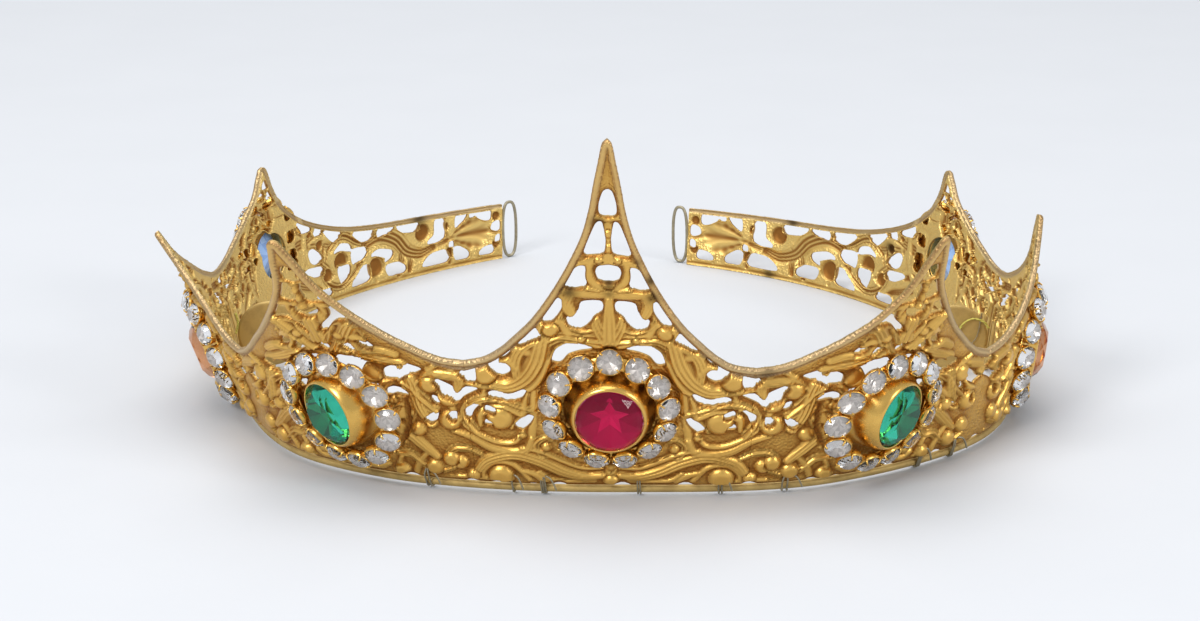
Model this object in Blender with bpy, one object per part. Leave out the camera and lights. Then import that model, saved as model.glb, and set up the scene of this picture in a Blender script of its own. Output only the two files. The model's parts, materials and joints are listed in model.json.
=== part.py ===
# Statue crown: a stamped and pierced gilt brass band with seven points and seven jewelled rosettes.

import math
from collections import namedtuple

import bpy
import numpy as np
from mathutils import Vector
from mathutils.geometry import delaunay_2d_cdt

# All sizes are in millimetres and are turned to metres when a mesh is written.
METRES = 0.001

# The foot of the front point is drawn at zero; this moves the middle of the crown's foot print there.
MIDDLE_X = -2.347
MIDDLE_Y = 68.67

# Stamped band.
WALL = 0.8
EDGE_RAISE = 0.15
RAIL_RAISE = 0.5
RAIL_WIDTH = 1.4
RIDGE_RAISE = 0.9
BEAD_RAISE = 1.3
LEAST_WEB = 0.75
LEAST_EDGE_WEB = 1.2
LEAST_OPENING = 1.25
LOW_TIP = 45.0
BASE_RISE = 2.4
BASE_RISE_END = 117.0
BASE_FALL_LENGTH = 5.0
PROFILE_BEND_START = 18.0
PROFILE_BEND_END = 34.0

# Rod under the front of the band, and the thin wires that tie it on.
ROD_RADIUS = 0.7
ROD_HEIGHT = 1.36
ROD_OUT = 0.6
ROD_REACH = 112.0
TIE_RADIUS = 0.25
TIE_HOLE_RADIUS = 0.55
TIE_HOLE_HEIGHT = 4.6
TIE_PLACES = (-33.0, -17.5, -12.0, 5.0, 19.5, 31.0, 58.5, 67.0)

# Wire loops at the open back.
LOOP_WIRE_RADIUS = 0.35
LOOP_HALF_WIDTH = 1.75
LOOP_HALF_HEIGHT = 6.4
LOOP_CLEAR = 0.3
LOOP_STEPS = 18

# Rosettes.
RING_RADIUS = 9.8
RING_STONES = 13
STONE_RADIUS = 2.25
STONE_TABLE = 0.55
STONE_RISE = 1.9
STONE_CUT_SIDES = 8
STONE_FOOT = 0.15
RING_TILT = math.radians(32.0)
RING_INNER = 7.95
RING_OUTER = 12.7
RING_PLATE = 0.6
RING_STAND = 0.6
RING_UP = 0.4
TURN_REACH = 4.0
COLLAR_TOP = 4.8
RING_LIFT = 0.6
RING_LEAST = 0.4
SEAT_FLAT = 14.6
SEAT_HOLE = 4.9
SEAT_GAP = 0.25
COLLAR_SIDES = 16
GEM_SIDES = 12

# Outline of the collar, from its outer foot over its lip to its inner foot.
Turn = namedtuple("Turn", "radius height")
COLLAR_PROFILE = (
    Turn(7.3, SEAT_GAP),
    Turn(7.35, 0.75),
    Turn(7.1, 3.0),
    Turn(6.75, 4.2),
    Turn(6.3, 4.8),
    Turn(6.0, 4.6),
    Turn(5.25, 3.3),
    Turn(5.2, SEAT_GAP),
)

# Levels of the main stone, from its point at the back to its table.
Level = namedtuple("Level", "radius height sides phase")
GEM_LEVELS = (
    Level(0.0, 1.4, 1, 0.0),
    Level(3.0, 2.4, GEM_SIDES, 0.5),
    Level(5.65, 4.35, GEM_SIDES, 0.0),
    Level(5.65, 4.75, GEM_SIDES, 0.0),
    Level(4.75, 6.0, GEM_SIDES, 0.5),
    Level(3.1, 6.9, GEM_SIDES // 2, 0.5),
)

# Flat discs inside the band.
DISC_RADIUS = 6.8
DISC_THICKNESS = 0.8
DISC_SIDES = 16
DISC_PLACE = 121.0
DISC_TOUCH_HEIGHT = 8.0
DISC_CLEAR = 0.45
DISC_STAND = 0.6

Bend = namedtuple("Bend", "along right left")
BENDS = (
    Bend(0, 0, 0),
    Bend(10, 0, 4),
    Bend(20, 3, 9),
    Bend(28, 9, 13),
    Bend(36, 18, 18),
    Bend(40, 25, 24),
    Bend(56, 35, 36),
    Bend(62, 39, 47),
    Bend(70, 46, 59),
    Bend(82, 63, 69),
    Bend(96, 81, 73),
    Bend(112, 96, 82),
    Bend(130, 106, 95),
    Bend(150, 115, 111),
    Bend(172, 126, 126),
    Bend(196, 141, 137),
    Bend(226, 157, 150),
)

Lean = namedtuple("Lean", "along right_low right_high left_low left_high")
LEANS = (
    Lean(0, 13, 14, 13, 14),
    Lean(20, 18, 26, 14, 21),
    Lean(40, 16, 33, 14, 31),
    Lean(60, 12, 27, 16, 35),
    Lean(80, 10, 14, 18, 34),
    Lean(100, 8, 4, 19, 30),
    Lean(130, 7, 0, 9, 10),
    Lean(170, 6, 1, 1, -4),
    Lean(226, 7, 5, -2, -8),
)

Point = namedtuple("Point", "name along tip seat turn slide sink")
POINTS = (
    Point("amber_left", -97.0, 40.0, 13.6, 0.0, 0.0, 1.6),
    Point("emerald_left", -48.0, 56.0, 16.2, 18.0, 1.2, 0.0),
    Point("ruby", 0.0, 72.0, 18.8, 0.0, 0.0, 0.0),
    Point("emerald_right", 48.0, 56.0, 16.2, 18.0, 1.2, 0.0),
    Point("amber_right", 97.0, 40.0, 13.6, 0.0, 0.0, 1.6),
    Point("sapphire_left", -149.0, 35.0, 15.6, 0.0, 0.0, 1.6),
    Point("sapphire_right", 149.0, 35.0, 15.6, 0.0, 0.0, 1.6),
)

Valley = namedtuple("Valley", "along height")
VALLEYS = (Valley(24.5, 28.0), Valley(72.5, 21.0), Valley(123.0, 21.0))
SADDLES = (
    Valley(0, 28.0),
    Valley(24.5, 28.0),
    Valley(48, 26.0),
    Valley(72.5, 21.0),
    Valley(230, 21.0),
)
MODEL_TIP = 72.0
MODEL_VALLEY = 28.0

# Share of the way from a point to the next valley, and share of the point's rise left there.
Rise = namedtuple("Rise", "share left")
POINT_EDGE = (
    Rise(0.00, 1.000),
    Rise(0.03, 0.985),
    Rise(0.06, 0.900),
    Rise(0.09, 0.810),
    Rise(0.12, 0.705),
    Rise(0.17, 0.590),
    Rise(0.245, 0.485),
    Rise(0.33, 0.385),
    Rise(0.43, 0.285),
    Rise(0.53, 0.200),
    Rise(0.63, 0.135),
    Rise(0.75, 0.065),
    Rise(0.87, 0.020),
    Rise(1.00, 0.000),
)

# Top edge of the straps, from the last point to the end.
STRAP_START = 149.0
STRAP_ENDS = {"right": 223.0, "left": 218.5}
STRAP_MODEL_LENGTH = 74.0
STRAP_EDGE = (
    Valley(0.0, 35.0),
    Valley(0.8, 34.3),
    Valley(2.5, 30.0),
    Valley(5.0, 26.0),
    Valley(10.0, 22.0),
    Valley(15.0, 19.5),
    Valley(20.0, 17.7),
    Valley(25.0, 16.3),
    Valley(30.0, 15.3),
    Valley(40.0, 14.2),
    Valley(50.0, 13.7),
    Valley(65.0, 13.2),
    Valley(74.0, 13.0),
)

# A gap is a bent drop: where its middle is, its size, its turn and bend, how wide its two ends are,
# and its rank, which says how low a point may be and still have it.
Gap = namedtuple("Gap", "across up length width turn bend start end rank")
CREST_GAPS = (
    Gap(0.0, 60.0, 4.8, 2.3, 90, 0, 0.9, 0.15, 1),
    Gap(2.4, 52.9, 6.4, 2.1, 101, 0, 1.0, 0.15, 1),
    Gap(0.0, 46.3, 3.2, 2.8, 90, 0, 0.8, 0.7, 2),
    Gap(5.1, 45.7, 4.4, 2.6, 112, 0, 1.0, 0.2, 2),
    Gap(3.1, 38.7, 5.2, 2.9, 80, 0, 0.7, 0.8, 1),
    Gap(8.4, 38.9, 4.6, 2.0, 120, 0, 1.0, 0.2, 2),
)
RUBY_GAPS = (
    Gap(13.3, 34.2, 4.8, 1.7, 137, 0, 0.4, 0.3, 1),
    Gap(18.0, 29.0, 4.4, 2.0, 145, 20, 0.5, 0.4, 1),
    Gap(7.6, 33.2, 3.6, 1.3, -35, -30, 0.5, 0.3, 1),
    Gap(17.2, 21.9, 5.6, 1.6, 3, 15, 0.4, 0.6, 1),
    Gap(23.7, 17.9, 4.4, 1.5, 90, -80, 0.3, 0.3, 1),
    Gap(14.9, 16.4, 3.2, 1.4, 62, 20, 0.6, 0.4, 1),
    Gap(23.0, 22.0, 3.0, 1.8, -8, 0, 0.6, 0.4, 1),
)
SIDE_GAPS = (
    Gap(4.2, 32.0, 3.2, 1.6, -30, -20, 0.5, 0.4, 2),
    Gap(13.3, 24.9, 4.8, 2.3, 10, -25, 0.5, 0.7, 1),
    Gap(14.9, 19.6, 2.6, 1.5, 80, -60, 0.5, 0.5, 3),
    Gap(19.9, 23.5, 3.6, 1.7, 155, 15, 0.3, 0.7, 1),
    Gap(17.8, 19.0, 2.8, 1.7, -55, 0, 0.9, 0.3, 2),
    Gap(22.8, 16.0, 3.2, 1.7, -65, 0, 0.6, 0.6, 2),
)
STRAP_GAPS = (
    Gap(6.2, 20.6, 2.6, 1.6, -50, 0, 0.6, 0.4, 2),
    Gap(11.2, 18.6, 4.2, 1.6, -25, 0, 0.7, 0.3, 1),
    Gap(15.0, 11.3, 4.4, 1.8, -20, -60, 0.5, 0.4, 1),
    Gap(14.4, 6.9, 3.4, 1.4, -10, 0, 0.5, 0.3, 2),
    Gap(15.5, 2.8, 5.6, 1.3, 0, 0, 0.6, 0.4, 1),
    Gap(20.8, 14.3, 4.8, 1.5, -10, 0, 0.5, 0.4, 1),
    Gap(22.6, 11.0, 4.0, 1.4, 35, -90, 0.4, 0.4, 1),
    Gap(30.6, 12.2, 6.0, 1.9, -12, 10, 0.5, 0.7, 1),
    Gap(24.2, 5.0, 2.8, 1.5, 20, 0, 0.6, 0.5, 2),
    Gap(29.3, 7.8, 2.6, 1.9, 60, 0, 0.6, 0.6, 2),
    Gap(29.5, 3.1, 6.8, 1.7, 0, 8, 0.4, 0.6, 1),
    Gap(37.0, 8.0, 5.2, 1.7, 5, -60, 0.5, 0.5, 1),
    Gap(42.3, 3.3, 4.4, 2.0, -10, 0, 0.9, 0.4, 1),
    Gap(45.3, 11.1, 3.8, 2.3, -30, 0, 0.8, 0.5, 1),
    Gap(54.0, 9.6, 4.2, 2.0, 90, 0, 0.8, 0.9, 1),
    Gap(55.1, 3.3, 2.6, 2.0, 0, 0, 0.9, 0.9, 1),
    Gap(60.2, 10.4, 3.4, 2.5, 80, 0, 0.7, 0.9, 1),
    Gap(63.6, 3.0, 4.2, 1.6, 0, 0, 0.8, 0.6, 1),
    Gap(69.9, 3.4, 2.8, 2.0, 10, 0, 0.8, 0.8, 1),
    Gap(70.1, 10.5, 3.2, 2.3, 0, 0, 0.8, 0.8, 1),
)

# Round beads of the stamping, raised from the sheet.
Bead = namedtuple("Bead", "across up radius")
RUBY_BEADS = (
    Bead(9.6, 35.6, 1.2),
    Bead(20.9, 25.9, 1.8),
    Bead(18.9, 17.0, 1.9),
    Bead(19.4, 5.2, 2.4),
    Bead(24.5, 6.2, 1.4),
)
SIDE_BEADS = (
    Bead(17.4, 22.2, 1.5),
    Bead(20.6, 20.3, 1.7),
    Bead(20.2, 13.8, 1.6),
    Bead(14.6, 4.9, 1.6),
    Bead(19.6, 7.2, 1.7),
)
STRAP_BEADS = (
    Bead(36.2, 4.4, 2.2),
    Bead(50.6, 9.9, 2.0),
    Bead(57.2, 9.9, 1.2),
    Bead(58.8, 3.6, 1.3),
    Bead(25.0, 8.4, 1.6),
)

# Ridges of the scrolls and leaves, each an arc.
Ridge = namedtuple("Ridge", "across up radius start sweep")
RUBY_RIDGES = (
    Ridge(20.0, 34.0, 8.6, 185, 75),
    Ridge(0.0, 18.8, 14.4, 50, -45),
    Ridge(20.6, 17.4, 4.6, 150, -200),
    Ridge(11.0, -3.5, 13.0, 128, -90),
    Ridge(19.0, 15.0, 6.0, 195, 120),
    Ridge(0.0, 30.0, 13.0, 65, 20),
)
SIDE_RIDGES = (
    Ridge(12.5, 31.5, 4.4, 160, 110),
    Ridge(16.5, 17.0, 4.6, 170, -150),
    Ridge(11.0, -3.5, 13.0, 60, -35),
    Ridge(19.0, 13.5, 6.0, 200, 110),
    Ridge(0.0, 30.0, 13.0, 65, 20),
)
STRAP_RIDGES = (
    Ridge(39.5, 5.0, 6.0, 165, -130),
    Ridge(48.0, 10.5, 6.0, 225, 70),
    Ridge(26.0, 8.5, 4.2, 30, 200),
    Ridge(20.0, 11.5, 2.6, 60, 200),
    Ridge(65.4, 7.0, 3.4, 0, 300),
)
RIDGE_STEP = 2.5

Coating = namedtuple("Coating", "red green blue metal rough")
COATINGS = {
    "gilt_brass": Coating(0.62, 0.36, 0.08, 1.0, 0.38),
    "grey_wire": Coating(0.26, 0.26, 0.20, 1.0, 0.45),
    "ruby_glass": Coating(0.55, 0.01, 0.08, 0.0, 0.08),
    "emerald_glass": Coating(0.01, 0.30, 0.16, 0.0, 0.08),
    "amber_glass": Coating(0.65, 0.22, 0.07, 0.0, 0.10),
    "sapphire_glass": Coating(0.12, 0.25, 0.62, 0.0, 0.10),
    "clear_glass": Coating(0.80, 0.80, 0.80, 0.0, 0.08),
}


def clear_scene():
    """Take every object out of the scene."""
    for thing in list(bpy.data.objects):
        bpy.data.objects.remove(thing, do_unlink=True)


def coating(name):
    """The material of this name, made once."""
    made = bpy.data.materials.get(name)
    if made:
        return made
    made = bpy.data.materials.new(name)
    made.use_nodes = True
    row = COATINGS[name]
    shader = made.node_tree.nodes["Principled BSDF"]
    shader.inputs["Base Color"].default_value = (row.red, row.green, row.blue, 1.0)
    shader.inputs["Metallic"].default_value = row.metal
    shader.inputs["Roughness"].default_value = row.rough
    return made


def add_node(name, points, faces, finish):
    """Write one closed solid, given in millimetres, as an object of its own."""
    mesh = bpy.data.meshes.new(name)
    corners = (np.asarray(points, dtype=float) - np.array([MIDDLE_X, MIDDLE_Y, 0.0])) * METRES
    corners = [tuple(map(float, corner)) for corner in corners]
    mesh.from_pydata(corners, [], [tuple(map(int, face)) for face in faces])
    mesh.validate()
    mesh.update()
    mesh.materials.append(coating(finish))
    made = bpy.data.objects.new(name, mesh)
    bpy.context.scene.collection.objects.link(made)
    return made


def column(rows, name):
    """One column of a table as numbers."""
    return np.array([getattr(row, name) for row in rows], dtype=float)


class Course:
    """The line of the band's foot on one side of the front, and how the band leans out from it."""

    STEP = 0.5

    def __init__(self, side):
        self.sign = 1.0 if side == "right" else -1.0
        self.run = np.arange(0.0, 226.0 + self.STEP, self.STEP)
        turn = np.radians(np.interp(self.run, column(BENDS, "along"), column(BENDS, side)))
        kernel = np.ones(13) / 13.0
        padded = np.concatenate([-turn[6:0:-1], turn, np.full(6, turn[-1])])
        self.turn = np.convolve(padded, kernel, mode="valid")
        middle = (self.turn[1:] + self.turn[:-1]) / 2.0
        self.x = np.concatenate([[0.0], np.cumsum(np.cos(middle)) * self.STEP])
        self.y = np.concatenate([[0.0], np.cumsum(np.sin(middle)) * self.STEP])
        along = column(LEANS, "along")
        self.low = np.radians(np.interp(self.run, along, column(LEANS, side + "_low")))
        self.high = np.radians(np.interp(self.run, along, column(LEANS, side + "_high")))

    @staticmethod
    def lean_at(up, low, high):
        """Lean of the sheet at a height, going smoothly from the low lean to the high one."""
        share = np.clip((up - PROFILE_BEND_START) / (PROFILE_BEND_END - PROFILE_BEND_START), 0.0, 1.0)
        return low + (high - low) * share * share * (3.0 - 2.0 * share)

    def place(self, along, up, out):
        """Points of the band: along the foot, up the sheet and out from its inner face."""
        along = np.asarray(along, dtype=float)
        up = np.asarray(up, dtype=float)
        out = np.asarray(out, dtype=float)
        x = np.interp(along, self.run, self.x)
        y = np.interp(along, self.run, self.y)
        turn = np.interp(along, self.run, self.turn)
        low = np.interp(along, self.run, self.low)
        high = np.interp(along, self.run, self.high)
        reach = np.zeros_like(up)
        height = np.zeros_like(up)
        steps = 16
        for k in range(steps):
            level = up * (k + 0.5) / steps
            lean = self.lean_at(level, low, high)
            reach += np.sin(lean) * up / steps
            height += np.cos(lean) * up / steps
        lean = self.lean_at(up, low, high)
        reach = reach + out * np.cos(lean)
        lift = (WALL + EDGE_RAISE) * np.maximum(np.sin(low), 0.0)
        height = height - out * np.sin(lean) + lift
        px = x + np.sin(turn) * reach
        py = y - np.cos(turn) * reach
        return np.stack([self.sign * px, py, height], axis=-1)


COURSES = {"right": Course("right"), "left": Course("left")}


def place(along, up, out):
    """Points of the whole band, with the left side at negative along."""
    along, up, out = np.broadcast_arrays(
        np.asarray(along, dtype=float), np.asarray(up, dtype=float), np.asarray(out, dtype=float)
    )
    right = COURSES["right"].place(np.abs(along), up, out)
    left = COURSES["left"].place(np.abs(along), up, out)
    return np.where((along < 0.0)[..., None], left, right)


def frame_at(along, up, out):
    """Origin and the three directions (along, up, out) of the band at one place."""
    origin = place(along, up, out)
    tangent = place(along + 0.5, up, out) - place(along - 0.5, up, out)
    tangent = tangent / np.linalg.norm(tangent)
    rise = place(along, up + 0.5, out) - place(along, up - 0.5, out)
    rise = rise - tangent * np.dot(rise, tangent)
    rise = rise / np.linalg.norm(rise)
    return origin, tangent, rise, np.cross(tangent, rise)


def side_of(along):
    """The name of the side that a place is on."""
    return "left" if along < 0 else "right"


def seat_along(point):
    """Where a rosette sits along the band, slid a little to the front of its point's axis."""
    return point.along - point.slide * (1.0 if point.along > 0 else -1.0)


def strap_scale(side):
    """How much the strap of one side is drawn out against its model."""
    return (STRAP_ENDS[side] - STRAP_START) / STRAP_MODEL_LENGTH


def saddle(along):
    """Height of the line through the valleys."""
    return np.interp(np.abs(along), column(SADDLES, "along"), column(SADDLES, "height"))


def top_edge(along):
    """Height of the band's top edge."""
    run = abs(along)
    if run > STRAP_START:
        reach = (run - STRAP_START) / strap_scale(side_of(along))
        return float(np.interp(reach, column(STRAP_EDGE, "along"), column(STRAP_EDGE, "height")))
    stops = [-VALLEYS[0].along] + [v.along for v in VALLEYS]
    for point in POINTS:
        if point.along < 0:
            continue
        before = max([s for s in stops if s < point.along])
        after = min([s for s in stops if s > point.along], default=1000.0)
        if before <= run <= after:
            reach = after - point.along if run > point.along else point.along - before
            share = abs(run - point.along) / reach
            left = float(np.interp(share, column(POINT_EDGE, "share"), column(POINT_EDGE, "left")))
            low = float(saddle(run))
            return low + (point.tip - low) * left
    return 0.0


def bottom_edge(along):
    """Height of the band's foot, which stands on the rod in front and on the floor behind."""
    share = np.clip((abs(along) - BASE_RISE_END) / BASE_FALL_LENGTH, 0.0, 1.0)
    return BASE_RISE * (1.0 - share)


def settle(along, up, tip):
    """Height on a point of this tip for a height on the model point."""
    low = float(saddle(along))
    if up <= MODEL_VALLEY:
        return up * low / MODEL_VALLEY
    return low + (up - MODEL_VALLEY) * (tip - low) / (MODEL_TIP - MODEL_VALLEY)


def drop_outline(gap):
    """Outline of a gap about its own middle, as a short polygon."""
    bend = math.radians(gap.bend)
    outline = []
    stations = ((0.0, gap.start), (0.35, 1.0), (0.7, 0.85), (1.0, gap.end))
    spine = []
    for share, wide in stations:
        angle = bend * (share - 0.5)
        if abs(bend) > 0.02:
            radius = gap.length / bend
            x = radius * math.sin(angle)
            y = radius * (1.0 - math.cos(angle))
        else:
            x = gap.length * (share - 0.5)
            y = 0.0
        spine.append((x, y, angle, wide * gap.width / 2.0))
    for x, y, angle, half in spine:
        outline.append((x + math.sin(angle) * half, y - math.cos(angle) * half))
    for x, y, angle, half in reversed(spine):
        outline.append((x - math.sin(angle) * half, y + math.cos(angle) * half))
    turn = math.radians(gap.turn)
    cos, sin = math.cos(turn), math.sin(turn)
    return np.array([(x * cos - y * sin, x * sin + y * cos) for x, y in outline])


def mirrored(rows, hand):
    """A table's rows turned round for the other hand of a point, with rows on the axis kept once."""
    for row in rows:
        if hand < 0 and abs(row.across) < 0.01:
            continue
        yield row


def point_gaps(point):
    """The gap outlines of one point of the band, on both hands of its axis."""
    outlines = []
    for hand in (1, -1):
        rear = abs(point.along) > 140 and hand == (1 if point.along > 0 else -1)
        rows = list(CREST_GAPS)
        if point.name == "ruby":
            rows += RUBY_GAPS
        elif not rear:
            rows += SIDE_GAPS
        for row in mirrored(rows, hand):
            if row.rank > (2 if point.tip > LOW_TIP else 1):
                continue
            shape = drop_outline(row)
            centre = point.along + hand * row.across
            if row.up > MODEL_VALLEY:
                squeeze = (point.tip - float(saddle(centre))) / (MODEL_TIP - MODEL_VALLEY)
            else:
                squeeze = float(saddle(centre)) / MODEL_VALLEY
            shape = shape * np.array([hand, squeeze])
            outlines.append(shape + np.array([centre, settle(centre, row.up, point.tip)]))
    return outlines


def strap_gaps(side):
    """The gap outlines of one strap."""
    sign = 1.0 if side == "right" else -1.0
    scale = strap_scale(side)
    outlines = []
    for row in STRAP_GAPS:
        if row.rank > 1:
            continue
        shape = drop_outline(row) * np.array([sign * scale, 1.0])
        outlines.append(shape + np.array([sign * (STRAP_START + row.across * scale), row.up]))
    return outlines


def segment_distance(points, loop):
    """Least distance from points to a closed line."""
    start = loop
    end = np.roll(loop, -1, axis=0)
    step = end - start
    span = np.maximum((step * step).sum(axis=1), 1e-9)
    offset = points[:, None, :] - start[None, :, :]
    share = np.clip((offset * step[None]).sum(axis=2) / span[None], 0.0, 1.0)
    nearest = start[None] + step[None] * share[..., None]
    return np.sqrt(((points[:, None, :] - nearest) ** 2).sum(axis=2)).min(axis=1)


def inside(points, loop):
    """Which points lie inside a closed line."""
    x, y = points[:, 0][:, None], points[:, 1][:, None]
    x0, y0 = loop[:, 0][None], loop[:, 1][None]
    x1, y1 = np.roll(loop[:, 0], -1)[None], np.roll(loop[:, 1], -1)[None]
    crosses = (y0 > y) != (y1 > y)
    with np.errstate(divide="ignore", invalid="ignore"):
        at = x0 + (y - y0) * (x1 - x0) / (y1 - y0)
    return (crosses & (x < at)).sum(axis=1) % 2 == 1


def clear_of(shape, loops, web):
    """Whether a gap keeps a web of metal to every loop near it."""
    low, high = shape.min(axis=0) - web, shape.max(axis=0) + web
    for loop in loops:
        if (loop.max(axis=0) < low).any() or (loop.min(axis=0) > high).any():
            continue
        if segment_distance(shape, loop).min() < web or segment_distance(loop, shape).min() < web:
            return False
        if inside(shape[:1], loop)[0] or inside(loop[:1], shape)[0]:
            return False
    return True


def circle(across, up, radius, sides, start=0.0):
    """A regular outline about a place on the flat sheet."""
    angle = start + np.arange(sides) * 2.0 * math.pi / sides
    return np.stack([across + radius * np.cos(angle), up + radius * np.sin(angle)], axis=1)


def band_outline():
    """The outline of the flat sheet, foot first, then back along the top edge."""
    ends = (-STRAP_ENDS["left"], STRAP_ENDS["right"])
    foot_run = [ends[0]]
    step = 5.0
    while foot_run[-1] + step < ends[1] - 1.0:
        foot_run.append(foot_run[-1] + step)
    foot_run.append(ends[1])
    for corner in (BASE_RISE_END, BASE_RISE_END + BASE_FALL_LENGTH):
        foot_run += [corner, -corner]
    foot_run = sorted(set(foot_run))
    kept = [foot_run[0]]
    for run in foot_run[1:]:
        if run - kept[-1] > 1.5:
            kept.append(run)
    foot = [(run, float(bottom_edge(run))) for run in kept]
    stations = set()
    stops = [v.along for v in VALLEYS]
    for point in POINTS:
        run = abs(point.along)
        before = max([s for s in stops if s < run], default=-VALLEYS[0].along)
        after = min([s for s in stops if s > run], default=None)
        for row in POINT_EDGE:
            stations.add(round(run - row.share * (run - before), 3))
            if after:
                stations.add(round(run + row.share * (after - run), 3))
    top_run = set()
    for run in stations:
        if abs(run) <= STRAP_START:
            top_run |= {run, -run}
    for side, sign in (("right", 1.0), ("left", -1.0)):
        for row in STRAP_EDGE:
            top_run.add(round(sign * (STRAP_START + row.along * strap_scale(side)), 3))
        for reach in (35.0, 45.0, 57.5, 70.0):
            top_run.add(round(sign * (STRAP_START + reach * strap_scale(side)), 3))
    top = []
    for run in sorted(top_run, reverse=True):
        if top and top[-1][0] - run < 0.25:
            continue
        top.append((run, top_edge(run)))
    return np.array(foot), np.array(top)


def all_gaps(outline):
    """Every gap that keeps its webs, shrunk a little where it must be."""
    loops = []
    for point in POINTS:
        loops.append(circle(seat_along(point), point.seat, SEAT_HOLE, 12, math.pi / 12))
    for run in TIE_PLACES:
        loops.append(circle(run, TIE_HOLE_HEIGHT, TIE_HOLE_RADIUS, 6))
    wanted = []
    for point in POINTS:
        wanted += point_gaps(point)
    for side in ("right", "left"):
        wanted += strap_gaps(side)
    for shape in wanted:
        middle = shape.mean(axis=0)
        for scale in (1.0, 0.9, 0.8, 0.7, 0.6):
            trial = middle + (shape - middle) * scale
            spread = trial.max(axis=0) - trial.min(axis=0)
            if min(spread) < LEAST_OPENING:
                break
            if not inside(trial, outline).all():
                continue
            if segment_distance(trial, outline).min() < LEAST_EDGE_WEB:
                continue
            if clear_of(trial, loops, LEAST_WEB):
                loops.append(trial)
                break
    return loops


def rosette_distance(points):
    """Distance from each flat place to the middle of the nearest rosette."""
    seats = np.array([(seat_along(p), p.seat) for p in POINTS])
    return np.sqrt(((points[:, None, :] - seats[None]) ** 2).sum(axis=2)).min(axis=1)


def relief_marks():
    """Flat places with the height that the stamping raises them to."""
    marks = []
    for point in POINTS:
        for hand in (1, -1):
            rear = abs(point.along) > 140 and hand == (1 if point.along > 0 else -1)
            if rear:
                continue
            beads = RUBY_BEADS if point.name == "ruby" else SIDE_BEADS
            ridges = RUBY_RIDGES if point.name == "ruby" else SIDE_RIDGES
            for bead in beads:
                run = point.along + hand * bead.across
                marks.append(("bead", run, settle(run, bead.up, point.tip), bead.radius))
            for ridge in ridges:
                count = max(2, int(abs(math.radians(ridge.sweep)) * ridge.radius / RIDGE_STEP))
                for k in range(count + 1):
                    angle = math.radians(ridge.start + ridge.sweep * k / count)
                    run = point.along + hand * (ridge.across + ridge.radius * math.cos(angle))
                    up = ridge.up + ridge.radius * math.sin(angle)
                    marks.append(("ridge", run, settle(run, up, point.tip), 0.0))
    for side, sign in (("right", 1.0), ("left", -1.0)):
        scale = strap_scale(side)
        for bead in STRAP_BEADS:
            marks.append(("bead", sign * (STRAP_START + bead.across * scale), bead.up, bead.radius))
        for ridge in STRAP_RIDGES:
            count = max(2, int(abs(math.radians(ridge.sweep)) * ridge.radius / RIDGE_STEP))
            for k in range(count + 1):
                angle = math.radians(ridge.start + ridge.sweep * k / count)
                run = ridge.across + ridge.radius * math.cos(angle)
                up = ridge.up + ridge.radius * math.sin(angle)
                marks.append(("ridge", sign * (STRAP_START + run * scale), up, 0.0))
    return marks


def relief_points(outline, loops):
    """Flat places inside the metal with their heights: the rail, the beads and the ridges."""
    kept = []
    heights = []

    def try_add(run, up, height, room, least):
        spot = np.array([[run, up]])
        if not inside(spot, outline)[0] or segment_distance(spot, outline)[0] < room:
            return False
        for loop in loops:
            if abs(loop[:, 0].mean() - run) > 9.0:
                continue
            if inside(spot, loop)[0] or segment_distance(spot, loop)[0] < room:
                return False
        if kept and np.sqrt(((np.array(kept) - spot) ** 2).sum(axis=1)).min() < least:
            return False
        kept.append((run, up))
        heights.append(height)
        return True

    for point in POINTS:
        for radius, sides in ((8.8, 8), (12.6, 12)):
            for x, y in circle(seat_along(point), point.seat, radius, sides):
                try_add(x, y, 0.0, 0.6, 1.5)
    marks = relief_marks()
    for kind, run, up, radius in marks:
        if kind != "bead" or rosette_distance(np.array([[run, up]]))[0] < SEAT_FLAT + radius:
            continue
        if not try_add(run, up, BEAD_RAISE, min(radius, 1.0), 1.5):
            continue
        for x, y in circle(run, up, radius, 5):
            try_add(x, y, EDGE_RAISE, 0.3, 0.6)
    for kind, run, up, _ in marks:
        if kind == "ridge" and rosette_distance(np.array([[run, up]]))[0] > SEAT_FLAT + 0.3:
            try_add(run, up, RIDGE_RAISE, 0.45, 1.3)
    return kept, heights


def filler_points(outline, loops, step):
    """A loose lattice of flat places that lets the sheet follow its bends."""
    found = []
    for i, run in enumerate(np.arange(-220.0, 224.0, step)):
        for up in np.arange(3.0 + (i % 2) * step / 2.0, 70.0, step):
            spot = np.array([[run, up]])
            if not inside(spot, outline)[0] or segment_distance(spot, outline)[0] < 1.2:
                continue
            near = [loop for loop in loops if abs(loop[:, 0].mean() - run) < 9.0]
            if any(inside(spot, loop)[0] or segment_distance(spot, loop)[0] < 0.8 for loop in near):
                continue
            found.append((float(run), float(up)))
    return found


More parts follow.
